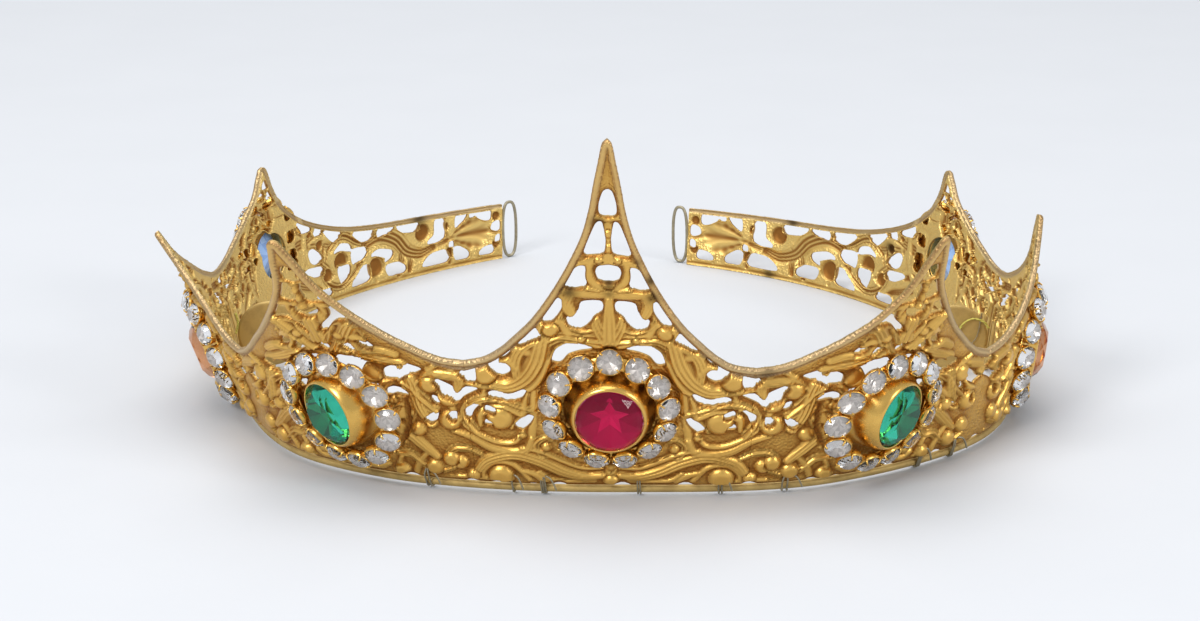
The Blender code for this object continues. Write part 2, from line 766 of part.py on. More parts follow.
def triangulate(outline, loops, extra):
    """Triangles of the flat sheet between its outline and its gaps."""
    points = [tuple(p) for p in outline]
    edges = []
    faces = []
    count = len(points)
    edges += [(i, (i + 1) % count) for i in range(count)]
    for loop in loops:
        first = len(points)
        points += [tuple(p) for p in loop]
        size = len(loop)
        edges += [(first + i, first + (i + 1) % size) for i in range(size)]
    border = len(points)
    points += extra
    made = delaunay_2d_cdt([Vector((float(x), float(y))) for x, y in points], edges, faces, 0, 1e-6, True)
    out_points, _, out_faces, origin, _, _ = made
    if len(out_points) != len(points):
        raise ValueError("the outline and the gaps of the band meet each other")
    new_to_old = [ids[0] for ids in origin]
    flat = np.array([tuple(p) for p in out_points])
    tris = np.array([tuple(f) for f in out_faces])
    middle = flat[tris].mean(axis=1)
    keep = inside(middle, outline)
    for loop in loops:
        near = np.abs(middle[:, 0] - loop[:, 0].mean()) < 9.0
        hit = np.zeros(len(middle), dtype=bool)
        hit[near] = inside(middle[near], loop)
        keep &= ~hit
    tris = np.array([[new_to_old[i] for i in face] for face in tris[keep]])
    ordered = np.array(points)
    a, b, c = (ordered[tris[:, k]] for k in range(3))
    area = (b[:, 0] - a[:, 0]) * (c[:, 1] - a[:, 1]) - (b[:, 1] - a[:, 1]) * (c[:, 0] - a[:, 0])
    tris[area < 0] = tris[area < 0][:, ::-1]
    return ordered, tris, border


def build_band():
    """The stamped and pierced band as one solid, with the feet of its straps level with the floor."""
    foot, top = band_outline()
    outline = np.concatenate([foot, top])
    loops = all_gaps(outline)
    raised, heights = relief_points(outline, loops)
    front_flat, front_tris, border = triangulate(outline, loops, raised)
    back_flat, back_tris, _ = triangulate(outline, loops, filler_points(outline, loops, 11.0))
    front_out = np.full(len(front_flat), WALL + EDGE_RAISE)
    top_count = len(foot)
    front_out[top_count : len(outline)] = WALL + RAIL_RAISE
    front_out[border:] = WALL + np.array(heights)
    near_seat = rosette_distance(front_flat) < SEAT_FLAT
    front_out[near_seat] = WALL
    back_out = np.zeros(len(back_flat))
    front = place(front_flat[:, 0], front_flat[:, 1], front_out)
    back = place(back_flat[:, 0], back_flat[:, 1], back_out)
    on_floor = np.flatnonzero(foot[:, 1] <= 0.0)
    front[on_floor, 2] = 0.0
    back[on_floor, 2] = 0.0
    points = np.concatenate([front, back])
    shift = len(front)
    faces = [tuple(t) for t in front_tris]
    faces += [(t[2] + shift, t[1] + shift, t[0] + shift) for t in back_tris]
    edge_use = {}
    for tri in front_tris:
        for a, b in ((tri[0], tri[1]), (tri[1], tri[2]), (tri[2], tri[0])):
            edge_use[(a, b)] = edge_use.get((a, b), 0) + 1
    for a, b in edge_use:
        if (b, a) not in edge_use:
            faces.append((b, a, a + shift))
            faces.append((b, a + shift, b + shift))
    return add_node("band", points, faces, "gilt_brass")


def tube(path, radius, sides, closed=False):
    """Points and faces of a round wire along a path."""
    path = np.asarray(path, dtype=float)
    count = len(path)
    if closed:
        ahead = np.roll(path, -1, axis=0) - np.roll(path, 1, axis=0)
    else:
        ahead = np.gradient(path, axis=0)
    ahead /= np.linalg.norm(ahead, axis=1, keepdims=True)
    seed = np.array([0.0, 0.0, 1.0])
    if abs(ahead[0] @ seed) > 0.9:
        seed = np.array([1.0, 0.0, 0.0])
    rings = []
    side = np.cross(ahead[0], seed)
    side /= np.linalg.norm(side)
    for k in range(count):
        side = side - ahead[k] * (side @ ahead[k])
        side /= np.linalg.norm(side)
        other = np.cross(ahead[k], side)
        angle = np.arange(sides) * 2.0 * math.pi / sides
        rings.append(path[k] + radius * (np.cos(angle)[:, None] * side + np.sin(angle)[:, None] * other))
    points = np.concatenate(rings)
    faces = []
    last = count if closed else count - 1
    for k in range(last):
        a = k * sides
        b = ((k + 1) % count) * sides
        for j in range(sides):
            n = (j + 1) % sides
            faces.append((a + j, a + n, b + n))
            faces.append((a + j, b + n, b + j))
    if not closed:
        faces += [(0, j + 1, j) for j in range(1, sides - 1)]
        end = (count - 1) * sides
        faces += [(end, end + j, end + j + 1) for j in range(1, sides - 1)]
    return points, faces


def build_rod():
    """The gilt rod under the front of the band."""
    run = np.linspace(-ROD_REACH, ROD_REACH, 31)
    path = place(run, np.zeros_like(run), np.full_like(run, ROD_OUT))
    path[:, 2] = ROD_HEIGHT
    points, faces = tube(path, ROD_RADIUS, 8)
    return add_node("base_rod", points, faces, "gilt_brass")


def build_ties():
    """Thin wires, each a closed loop through a hole of the band and round the rod."""
    for number, run in enumerate(TIE_PLACES, start=1):
        rod = place(run, 0.0, ROD_OUT)
        rod[2] = ROD_HEIGHT
        outward = place(run, 0.0, 1.0) - place(run, 0.0, 0.0)
        outward[2] = 0.0
        outward /= np.linalg.norm(outward)
        around = ROD_RADIUS + 0.12 + TIE_RADIUS
        path = [
            place(run, TIE_HOLE_HEIGHT, WALL / 2.0),
            place(run, TIE_HOLE_HEIGHT - 0.05, WALL + 0.6),
            place(run, TIE_HOLE_HEIGHT - 0.7, WALL + 1.0),
            place(run, TIE_HOLE_HEIGHT - 2.0, WALL + 1.1),
            rod + outward * (around + 0.1),
            rod + outward * around * 0.7 + np.array([0.0, 0.0, -around * 0.7]),
            rod + np.array([0.0, 0.0, -around]),
            rod - outward * around * 0.7 + np.array([0.0, 0.0, -around * 0.7]),
            rod - outward * (around + 0.1),
            place(run, TIE_HOLE_HEIGHT - 2.0, -0.75),
            place(run, TIE_HOLE_HEIGHT - 0.7, -0.75),
            place(run, TIE_HOLE_HEIGHT - 0.05, -0.6),
        ]
        points, faces = tube(path, TIE_RADIUS, 5, closed=True)
        add_node(f"tie_wire_{number}", points, faces, "grey_wire")


def build_end_loops():
    """The upright wire loop at the end of each strap."""
    for side in ("left", "right"):
        sign = -1.0 if side == "left" else 1.0
        end = sign * STRAP_ENDS[side]
        top = top_edge(end)
        origin = place(end, top / 2.0, WALL / 2.0)
        ahead = place(end, top / 2.0, WALL / 2.0) - place(end - sign * 2.0, top / 2.0, WALL / 2.0)
        ahead /= np.linalg.norm(ahead)
        middle = origin + ahead * (LOOP_HALF_WIDTH + LOOP_WIRE_RADIUS + LOOP_CLEAR)
        path = []
        for k in range(LOOP_STEPS):
            angle = 2.0 * math.pi * k / LOOP_STEPS
            across = LOOP_HALF_WIDTH * np.sign(math.cos(angle)) * abs(math.cos(angle)) ** 0.7
            up = LOOP_HALF_HEIGHT * np.sign(math.sin(angle)) * abs(math.sin(angle)) ** 0.8
            path.append(middle + ahead * across + np.array([0.0, 0.0, up]))
        path = np.array(path)
        path[:, 2] += LOOP_WIRE_RADIUS + 0.05 - path[:, 2].min()
        points, faces = tube(path, LOOP_WIRE_RADIUS, 5, closed=True)
        add_node(f"end_loop_{side}", points, faces, "grey_wire")


def turned(profile, sides, origin, tangent, rise, out):
    """A ring made by turning a closed outline of (radius, height) about the local axis."""
    points = []
    for k in range(sides):
        angle = 2.0 * math.pi * k / sides
        way = tangent * math.cos(angle) + rise * math.sin(angle)
        points += [origin + way * r + out * h for r, h in profile]
    size = len(profile)
    faces = []
    for k in range(sides):
        a = k * size
        b = ((k + 1) % sides) * size
        for j in range(size):
            n = (j + 1) % size
            faces.append((a + j, b + j, b + n))
            faces.append((a + j, b + n, a + n))
    return points, faces


def turn_of(point):
    """How far a rosette is turned outward, as an angle about its upward direction."""
    return math.radians(point.turn) * (1.0 if point.along > 0 else -1.0)


def seat_frame(point):
    """Origin and directions of a rosette, turned outward on its seat."""
    origin, tangent, rise, out = frame_at(seat_along(point), point.seat, WALL)
    turn = turn_of(point)
    turned_tangent = tangent * math.cos(turn) - out * math.sin(turn)
    turned_out = out * math.cos(turn) + tangent * math.sin(turn)
    return origin, turned_tangent, rise, turned_out


def build_collar(point):
    """The tall collar that holds the main stone of a rosette, open at the back."""
    origin, tangent, rise, out = seat_frame(point)
    low = 1.0 - point.sink / COLLAR_TOP
    profile = [Turn(r, h if h < 1.0 else h * low) for r, h in COLLAR_PROFILE]
    points, faces = turned(profile, COLLAR_SIDES, origin, tangent, rise, out)
    size = len(COLLAR_PROFILE)
    shaped = []
    for index, spot in enumerate(points):
        row = index % size
        if row in (0, 1, size - 1):
            angle = 2.0 * math.pi * (index // size) / COLLAR_SIDES
            radius = COLLAR_PROFILE[row].radius
            run = seat_along(point) + radius * math.cos(angle)
            up = point.seat + radius * math.sin(angle)
            shaped.append(place(run, up, WALL + COLLAR_PROFILE[row].height))
        else:
            shaped.append(spot)
    return add_node(f"{point.name}_collar", shaped, faces, "gilt_brass")


def build_gem(point):
    """The main stone, with a table, a ring of star facets, a girdle and a pavilion."""
    origin, tangent, rise, out = seat_frame(point)
    finish = point.name.split("_")[0] + "_glass"
    points = []
    starts = []
    for radius, height, sides, phase in GEM_LEVELS:
        starts.append(len(points))
        for k in range(sides):
            angle = 2.0 * math.pi * (k + phase) / sides
            way = tangent * math.cos(angle) + rise * math.sin(angle)
            points.append(origin + way * radius + out * (height - point.sink))
    faces = []
    n = GEM_SIDES
    culet, low, girdle, upper, crown, table = starts
    for k in range(n):
        m = (k + 1) % n
        faces.append((culet, low + m, low + k))
        faces.append((low + k, low + m, girdle + m))
        faces.append((low + k, girdle + m, girdle + k))
        faces.append((girdle + k, girdle + m, upper + m))
        faces.append((girdle + k, upper + m, upper + k))
        faces.append((upper + k, upper + m, crown + k))
        faces.append((upper + m, crown + m, crown + k))
    half = n // 2
    for k in range(half):
        m = (k + 1) % half
        a, b = crown + 2 * k, crown + (2 * k + 1) % n
        c = crown + (2 * k + 2) % n
        faces.append((a, b, table + k))
        faces.append((b, c, table + k))
        faces.append((c, table + m, table + k))
    faces += [(table, table + k, table + k + 1) for k in range(1, half - 1)]
    return add_node(f"{point.name}_stone", points, faces, finish)


def build_halo(point):
    """The ring of thirteen clear stones and the plate they are set on, fused in one body."""
    border_sides = RING_STONES
    cut = STONE_CUT_SIDES
    between = math.pi / 2.0 + math.pi / RING_STONES
    inner = circle(0.0, 0.0, RING_INNER, border_sides, between)
    outer = circle(0.0, 0.0, RING_OUTER, border_sides, between)
    flat = [tuple(p) for p in outer] + [tuple(p) for p in inner]
    heights = [0.0] * len(flat)
    edges = [(i, (i + 1) % border_sides) for i in range(border_sides)]
    edges += [(border_sides + i, border_sides + (i + 1) % border_sides) for i in range(border_sides)]
    for k in range(RING_STONES):
        angle = math.pi / 2.0 + 2.0 * math.pi * k / RING_STONES
        x, y = RING_RADIUS * math.cos(angle), RING_RADIUS * math.sin(angle)
        for radius, height in ((STONE_RADIUS, STONE_FOOT), (STONE_RADIUS * STONE_TABLE, STONE_RISE)):
            first = len(flat)
            flat += [tuple(p) for p in circle(x, y, radius, cut, angle + math.pi / cut)]
            heights += [height] * cut
            edges += [(first + i, first + (i + 1) % cut) for i in range(cut)]
    made = delaunay_2d_cdt([Vector(p) for p in flat], edges, [], 0, 1e-6, True)
    tris = [tuple(made[3][i][0] for i in face) for face in made[2]]
    if len(made[0]) != len(flat):
        raise ValueError("the stones of a rosette meet each other")
    flat = np.array(flat)
    tris = np.array(tris)
    middle = flat[tris].mean(axis=1)
    keep = (inside(middle, outer)) & ~inside(middle, inner)
    tris = tris[keep]
    a, b, c = (flat[tris[:, k]] for k in range(3))
    area = (b[:, 0] - a[:, 0]) * (c[:, 1] - a[:, 1]) - (b[:, 1] - a[:, 1]) * (c[:, 0] - a[:, 0])
    tris[area < 0] = tris[area < 0][:, ::-1]
    count = len(flat)
    low_flat = flat[: 2 * border_sides]
    points_flat = np.concatenate([flat, low_flat])
    point_heights = np.concatenate([np.array(heights) + RING_PLATE, np.zeros(2 * border_sides)])
    faces = [tuple(t) for t in tris]
    for i in range(border_sides):
        n = (i + 1) % border_sides
        o0, o1, i0, i1 = i, n, border_sides + i, border_sides + n
        faces.append((o1, o0, count + o0))
        faces.append((o1, count + o0, count + o1))
        faces.append((i0, i1, count + i1))
        faces.append((i0, count + i1, count + i0))
        faces.append((count + o0, count + i0, count + i1))
        faces.append((count + o0, count + i1, count + o1))
    radius = np.linalg.norm(points_flat, axis=1)
    way = points_flat / radius[:, None]
    reach = radius - RING_RADIUS
    lean_out = math.sin(RING_TILT)
    upright = math.cos(RING_TILT)
    new_radius = RING_RADIUS + reach * upright + point_heights * lean_out
    new_height = RING_STAND + point_heights * upright - reach * lean_out
    across = way[:, 0] * new_radius
    turn = turn_of(point)
    outward = across * (1.0 if point.along > 0 else -1.0)
    new_height += math.tan(abs(turn)) * (np.sqrt(outward**2 + TURN_REACH**2) - outward) / 2.0
    run = seat_along(point) + across
    up = point.seat + RING_UP + way[:, 1] * new_radius
    points = place(run, up, np.maximum(WALL + RING_LEAST, WALL + RING_LIFT + new_height))
    return add_node(f"{point.name}_halo", points, faces, "clear_glass")


def build_discs():
    """The two flat discs that stand inside the band beside the amber points."""
    for side, sign in (("left", -1.0), ("right", 1.0)):
        wall = place(sign * DISC_PLACE, DISC_TOUCH_HEIGHT, 0.0)
        centre = wall + np.array([-sign * (DISC_RADIUS + DISC_CLEAR), 0.0, 0.0])
        centre[2] = DISC_RADIUS + DISC_STAND
        forward = np.array([0.0, -DISC_THICKNESS, 0.0])
        points = [centre, centre + forward]
        for k in range(DISC_SIDES):
            angle = 2.0 * math.pi * k / DISC_SIDES
            spoke = np.array([math.cos(angle), 0.0, math.sin(angle)]) * DISC_RADIUS
            points.append(centre + spoke)
            points.append(centre + spoke + forward)
        faces = []
        for k in range(DISC_SIDES):
            m = (k + 1) % DISC_SIDES
            back_a, front_a = 2 + 2 * k, 3 + 2 * k
            back_b, front_b = 2 + 2 * m, 3 + 2 * m
            faces.append((0, back_b, back_a))
            faces.append((1, front_a, front_b))
            faces.append((back_a, back_b, front_b))
            faces.append((back_a, front_b, front_a))
        add_node(f"inner_disc_{side}", points, faces, "gilt_brass")


def main():
    """Build every piece of the crown."""
    clear_scene()
    build_band()
    build_rod()
    build_ties()
    build_end_loops()
    for point in POINTS:
        build_collar(point)
        build_gem(point)
        build_halo(point)
    build_discs()


main()
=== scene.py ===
"""Looks of the statue crown: fine stamped relief, claw-set stones, wires, finishes, light and camera."""

import json
import logging
import math
from dataclasses import dataclass, field
from enum import Enum
from typing import Iterable, Sequence

import bpy
import numpy as np
from mathutils import Matrix

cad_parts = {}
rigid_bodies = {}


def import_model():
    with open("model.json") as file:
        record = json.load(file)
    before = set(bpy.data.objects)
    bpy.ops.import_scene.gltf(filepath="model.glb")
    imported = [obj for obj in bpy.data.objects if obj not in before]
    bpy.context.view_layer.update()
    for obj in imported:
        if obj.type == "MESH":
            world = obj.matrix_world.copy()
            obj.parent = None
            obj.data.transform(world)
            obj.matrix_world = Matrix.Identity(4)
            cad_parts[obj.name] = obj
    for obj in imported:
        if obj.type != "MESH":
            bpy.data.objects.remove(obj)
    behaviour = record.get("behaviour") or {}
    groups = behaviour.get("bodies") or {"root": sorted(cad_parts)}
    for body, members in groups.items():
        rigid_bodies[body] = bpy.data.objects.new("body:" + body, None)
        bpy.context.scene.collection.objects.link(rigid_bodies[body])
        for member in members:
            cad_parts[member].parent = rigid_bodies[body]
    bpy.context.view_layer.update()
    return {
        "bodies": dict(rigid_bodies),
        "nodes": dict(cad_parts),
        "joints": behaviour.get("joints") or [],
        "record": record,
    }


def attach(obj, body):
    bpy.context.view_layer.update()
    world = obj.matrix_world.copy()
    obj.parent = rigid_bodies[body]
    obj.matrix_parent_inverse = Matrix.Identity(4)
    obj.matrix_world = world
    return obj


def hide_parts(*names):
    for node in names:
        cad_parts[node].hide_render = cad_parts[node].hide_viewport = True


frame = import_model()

LOG = logging.getLogger("crown")

# Sizes of the drawing are millimetres.
# The crown's middle lies here in the drawing, and at the origin in the scene.
METRES = 0.001
MIDDLE = np.array([-2.347, 68.67, 0.0])

Array = np.ndarray
Pair = tuple[float, float]
Outline = tuple[Pair, ...]


class Form(Enum):
    """Cross section of a raised stroke."""

    ROUND = "round"
    RIBBON = "ribbon"
    LEAF = "leaf"


class Slot(Enum):
    """Material slots of the record."""

    GILT = "gilt_brass"
    WIRE = "grey_wire"
    RUBY = "ruby_glass"
    EMERALD = "emerald_glass"
    AMBER = "amber_glass"
    SAPPHIRE = "sapphire_glass"
    CLEAR = "clear_glass"


@dataclass(frozen=True)
class Stroke:
    """A raised scroll or leaf: its places, its width at start, middle and end, and its rise."""

    path: tuple[Pair, ...]
    wide: tuple[float, float, float]
    rise: float
    form: Form = Form.ROUND


@dataclass(frozen=True)
class Bead:
    """A round raised bead."""

    across: float
    up: float
    radius: float


@dataclass(frozen=True)
class Shell:
    """A round leaf with folds that spread from its root and a lobed edge."""

    across: float
    up: float
    half_long: float
    half_wide: float
    lobes: int
    rise: float


@dataclass(frozen=True)
class Motif:
    """Strokes and beads that are stamped together."""

    strokes: tuple[Stroke, ...]
    beads: tuple[Bead, ...]


@dataclass(frozen=True)
class Point:
    """One point of the band, with its tip.

    Its rosette has a height on the sheet and a stone. It may be turned outward, slid to the front and sunk.
    """

    name: str
    along: float
    tip: float
    seat: float
    stone: Slot
    turn: float = 0.0
    slide: float = 0.0
    sink: float = 0.0

    @property
    def hand(self) -> float:
        """1 on the right and in the middle, -1 on the left."""
        return math.copysign(1.0, self.along)

    @property
    def seat_along(self) -> float:
        """Where the rosette sits along the foot."""
        return self.along - self.slide * self.hand


POINTS = (
    Point("ruby", 0.0, 72.0, 18.8, Slot.RUBY),
    Point("emerald_right", 48.0, 56.0, 16.2, Slot.EMERALD, 18.0, 1.2),
    Point("emerald_left", -48.0, 56.0, 16.2, Slot.EMERALD, 18.0, 1.2),
    Point("amber_right", 97.0, 40.0, 13.6, Slot.AMBER, sink=1.6),
    Point("amber_left", -97.0, 40.0, 13.6, Slot.AMBER, sink=1.6),
    Point("sapphire_right", 149.0, 35.0, 15.6, Slot.SAPPHIRE, sink=1.6),
    Point("sapphire_left", -149.0, 35.0, 15.6, Slot.SAPPHIRE, sink=1.6),
)

R, B, L = Form.ROUND, Form.RIBBON, Form.LEAF
S = Stroke

CREST = Motif(
    strokes=(
        S(((0, 57.3), (0, 53), (0, 49.0)), (1.3, 1.9, 2.2), 0.7, L),
        S(((0, 57.0), (1.5, 57.5), (3.0, 57.9)), (1.3, 1.1, 1.1), 0.5, R),
        S(((0, 48.6), (2.4, 49.0), (5.4, 48.4)), (2.2, 1.7, 1.3), 0.6, R),
        S(((3.0, 48.6), (3.2, 46.7), (2.7, 44.9), (1.2, 43.4)), (1.2, 1.6, 1.3), 0.7, L),
        S(((0, 45.1), (0, 43.2), (0, 40.6)), (2.4, 2.2, 1.8), 0.9, R),
        S(((0.6, 42.2), (3.4, 42.5), (6.0, 43.0), (8.6, 43.9)), (2.0, 2.0, 1.5), 0.8, L),
        S(((1.6, 43.2), (4.0, 43.9), (6.8, 44.2)), (0.8, 1.1, 0.6), 1.0, R),
        S(((6.2, 42.6), (6.9, 40.8), (6.3, 39.0), (5.2, 37.7)), (1.8, 2.3, 0.9), 0.9, L),
        S(((7.5, 43.2), (7.6, 41.0), (8.0, 38.4)), (1.2, 0.9, 1.1), 0.6, R),
        S(((1.4, 35.7), (4.0, 34.9), (6.3, 35.7), (7.9, 37.2), (8.3, 38.8)), (1.8, 1.9, 0.9), 0.9, B),
    ),
    beads=(Bead(0, 54.2, 1.0), Bead(0, 51.4, 1.15), Bead(1.5, 49.1, 0.8), Bead(0, 44.3, 1.2),
           Bead(0, 57.2, 0.9)),
)

CENTRE = Motif(
    strokes=(
        S(((0, 33.2), (0, 37), (0, 41.2)), (3.0, 2.7, 1.4), 1.1, L),
        S(((0.8, 33.2), (2.0, 36.0), (2.6, 38.9)), (2.6, 2.4, 1.0), 0.9, L),
        S(((0, 32.4), (4.2, 33.1), (8.2, 33.9), (10.9, 32.6)), (3.0, 1.9, 2.2), 0.9, B),
        S(((6.8, 34.6), (8.2, 37.0), (10.8, 37.4)), (1.6, 1.5, 1.2), 0.7, R),
        S(((1.4, 31.4), (4.6, 32.7), (8.0, 31.6), (10.0, 28.6)), (1.2, 1.3, 1.2), 0.7, R),
        S(
            ((10.4, 36.2), (11.2, 32.4), (12.3, 28.4), (14.3, 25.1), (17.2, 23.4), (20.6, 24.0)),
            (2.2, 3.3, 1.7),
            1.15,
            L,
        ),
        S(((12.0, 33.4), (14.4, 31.6), (15.6, 28.8), (15.5, 25.8)), (1.4, 2.4, 1.8), 0.95, L),
        S(((13.4, 30.8), (15.2, 31.9), (17.2, 32.2)), (2.2, 2.4, 1.6), 0.8, R),
        S(((15.4, 27.2), (16.8, 29.0), (18.3, 29.2), (18.9, 28.2)), (1.6, 1.5, 1.3), 0.9, R),
        S(((10.2, 29.0), (11.4, 25.6), (13.4, 22.9), (16.8, 21.9), (18.2, 22.4)), (1.3, 1.4, 0.7), 0.7, R),
        S(((18.4, 23.4), (21.4, 23.4), (24.2, 24.1)), (1.8, 1.7, 1.7), 0.85, L),
        S(((20.9, 25.6), (22.4, 27.4)), (1.6, 1.4, 1.4), 0.5, R),
        S(((21.0, 23.4), (21.4, 21.8), (21.9, 20.4)), (1.1, 0.8, 1.0), 0.6, R),
        S(
            ((13.3, 18.4), (16.0, 19.2), (19.2, 20.6), (22.2, 20.3), (24.4, 18.6), (24.9, 16.0),
             (23.6, 13.8)),
            (1.3, 1.5, 1.9),
            0.95,
            B,
        ),
        S(((14.2, 21.6), (14.7, 18.9), (15.2, 16.6), (17.0, 14.6)), (1.1, 1.3, 1.0), 0.7, R),
        S(((15.2, 17.4), (17.6, 18.6), (20.2, 18.3), (22.2, 17.2), (22.3, 15.0)), (1.1, 1.5, 1.2), 0.85, R),
        S(((12.6, 25.4), (12.9, 21.4), (13.2, 17.4), (13.6, 13.0)), (1.5, 1.4, 1.6), 0.5, R),
    ),
    beads=(Bead(9.6, 35.6, 1.35), Bead(20.9, 25.7, 1.9), Bead(18.9, 16.4, 2.1), Bead(22.6, 19.2, 0.7),
           Bead(4.6, 33.2, 0.7)),
)

SIDE = Motif(
    strokes=(
        S(((8.6, 38.6), (6.6, 36.2), (4.6, 32.6), (2.6, 29.2), (0, 27.4)), (1.8, 2.6, 1.5), 1.1, L),
        S(((0, 31.0), (0, 35.0), (0, 39.8)), (3.4, 3.0, 1.6), 1.1, L),
        S(((1.2, 31.8), (2.6, 35.2), (2.2, 38.6)), (2.4, 2.2, 1.0), 0.9, L),
        S(((3.4, 33.2), (5.6, 33.4), (7.2, 31.8), (6.4, 29.6)), (1.6, 2.2, 1.2), 0.9, R),
        S(((0, 28.2), (3.0, 28.7), (6.2, 28.4), (9.6, 27.7), (13.2, 27.3)), (1.8, 2.4, 1.5), 0.9, L),
        S(((5.7, 32.6), (6.0, 30.6), (6.2, 28.6)), (1.3, 1.0, 1.3), 0.7, R),
        S(((6.3, 29.2), (8.2, 29.4), (10.2, 29.8), (12.2, 29.2)), (1.6, 2.0, 1.6), 0.9, L),
        S(((8.4, 27.8), (7.6, 26.0), (7.3, 23.2), (8.0, 21.2)), (1.4, 1.6, 1.4), 0.6, R),
        S(((17.6, 17.6), (15.6, 19.6), (13.6, 22.2), (11.0, 23.2), (8.8, 21.6), (8.6, 18.8)),
          (1.9, 2.3, 1.5), 1.0, B),
        S(((16.9, 14.4), (15.4, 17.2), (14.6, 20.4), (13.9, 23.6), (12.6, 27.2)), (1.8, 2.4, 1.2), 1.0, L),
        S(((13.4, 22.6), (15.6, 23.2), (17.2, 25.4), (19.0, 27.6)), (1.2, 1.3, 1.1), 0.7, R),
        S(((17.4, 26.0), (17.9, 24.2), (17.4, 22.4)), (1.3, 1.2, 1.4), 0.7, R),
        S(((18.6, 25.3), (21.0, 25.0), (23.0, 24.8)), (1.7, 1.9, 1.5), 0.95, L),
        S(((22.6, 24.6), (22.4, 23.0), (21.6, 21.2)), (2.4, 1.8, 0.5), 0.9, L),
        S(((21.2, 26.2), (21.8, 27.8)), (1.7, 1.7, 1.7), 0.4, R),
        S(((20.3, 20.2), (18.8, 21.2), (17.4, 22.2)), (1.2, 1.1, 1.2), 0.6, R),
        S(((20.6, 19.0), (20.8, 17.0), (19.0, 14.6)), (1.4, 1.2, 1.4), 0.6, R),
        S(((18.4, 19.2), (17.6, 17.6), (17.4, 15.8)), (1.3, 1.2, 1.4), 0.6, R),
        S(((9.2, 16.2), (11.4, 17.9), (13.4, 16.8), (13.0, 14.6)), (1.4, 1.7, 1.3), 0.9, B),
        S(((11.8, 19.6), (13.4, 18.4), (15.6, 16.0)), (1.6, 1.4, 1.4), 0.7, R),
        S(((8.2, 22.4), (8.4, 18.0), (8.8, 13.6)), (1.4, 1.3, 1.5), 0.5, R),
    ),
    beads=(
        Bead(7.3, 24.3, 2.1),
        Bead(20.4, 20.3, 1.75),
        Bead(17.2, 22.8, 1.6),
        Bead(20.3, 15.4, 1.8),
        Bead(11.6, 15.9, 1.0),
        Bead(4.0, 33.0, 1.0),
        Bead(10.6, 18.6, 0.8),
        Bead(24.4, 25.0, 1.1),
    ),
)

LOW_CENTRE = Motif(
    strokes=(
        S(
            ((1.6, 4.8), (4.6, 4.5), (8.4, 5.5), (12.6, 7.7), (17.0, 8.9), (21.4, 7.6), (23.4, 5.4)),
            (1.4, 2.9, 2.0),
            1.1,
            L,
        ),
        S(((2.0, 6.4), (5.2, 6.5), (8.6, 7.9), (12.0, 9.6), (15.6, 10.4)), (0.9, 1.3, 0.7), 0.95, R),
        S(((13.6, 12.4), (14.6, 10.0), (17.4, 9.4), (21.0, 10.2), (24.2, 12.2), (27.4, 13.4)),
          (1.5, 2.0, 1.0), 1.0, L),
        S(((15.2, 13.6), (16.6, 11.6), (19.4, 11.4), (22.4, 12.6), (25.2, 14.6)), (1.0, 1.2, 0.7), 0.95, R),
        S(((9.0, 12.0), (11.6, 12.6), (13.2, 11.0), (12.4, 8.9), (9.8, 8.3)), (1.1, 1.5, 0.9), 0.9, B),
        S(((0, 7.2), (0, 5.2), (0, 3.0)), (1.6, 2.4, 2.6), 1.0, R),
        S(((3.0, 3.4), (6.4, 3.2), (10.4, 3.6), (12.6, 5.2)), (1.0, 1.3, 0.9), 0.7, R),
        S(((11.4, 2.6), (13.0, 4.4), (15.4, 5.4)), (1.2, 1.5, 0.8), 0.8, L),
        S(((14.2, 3.2), (17.2, 6.6), (20.4, 7.0), (22.6, 4.8), (22.2, 2.6)), (1.2, 1.3, 1.0), 0.8, R),
        S(((22.8, 8.6), (25.0, 9.6), (27.6, 9.4), (28.8, 7.6), (27.6, 6.4)), (1.2, 1.7, 1.0), 0.95, B),
        S(((21.6, 3.4), (24.4, 3.0), (27.2, 3.4)), (1.2, 1.8, 1.2), 0.8, L),
    ),
    beads=(
        Bead(19.5, 4.0, 2.4),
        Bead(0, 3.6, 1.5),
        Bead(24.4, 4.0, 1.3),
        Bead(26.6, 6.6, 1.5),
        Bead(11.2, 10.6, 1.0),
        Bead(15.2, 12.9, 0.7),
        Bead(0.0, 6.6, 1.0),
    ),
)

LOW_SIDE = Motif(
    strokes=(
        S(((17.2, 7.4), (14.8, 9.6), (13.0, 11.4), (10.6, 13.2), (9.4, 15.6)), (1.6, 2.7, 1.5), 1.05, L),
        S(
            ((20.0, 5.4), (17.6, 4.6), (14.6, 5.6), (12.4, 7.4), (10.0, 7.6), (8.9, 9.2), (10.2, 10.6),
             (11.6, 9.8)),
            (1.3, 1.8, 0.9),
            1.0,
            B,
        ),
        S(((16.2, 8.8), (14.6, 7.0), (13.2, 4.6), (12.8, 2.8)), (1.2, 1.4, 1.2), 0.8, L),
        S(((10.4, 6.6), (9.6, 4.4), (8.8, 2.8)), (1.1, 1.2, 1.3), 0.8, R),
        S(((7.6, 4.6), (5.6, 3.6), (3.2, 4.4), (0, 5.2)), (1.4, 1.6, 1.4), 0.8, L),
        S(((0, 3.2), (2.4, 2.8), (4.6, 3.0)), (1.2, 1.4, 1.0), 0.7, R),
        S(((20.6, 3.2), (17.4, 2.6), (14.2, 3.0)), (1.0, 1.2, 1.0), 0.7, R),
    ),
    beads=(
        Bead(10.4, 3.8, 1.6),
        Bead(3.0, 2.9, 1.2),
        Bead(16.6, 5.2, 1.7),
        Bead(14.4, 12.9, 1.4),
        Bead(6.0, 5.6, 1.2),
        Bead(19.8, 7.2, 1.6),
    ),
)

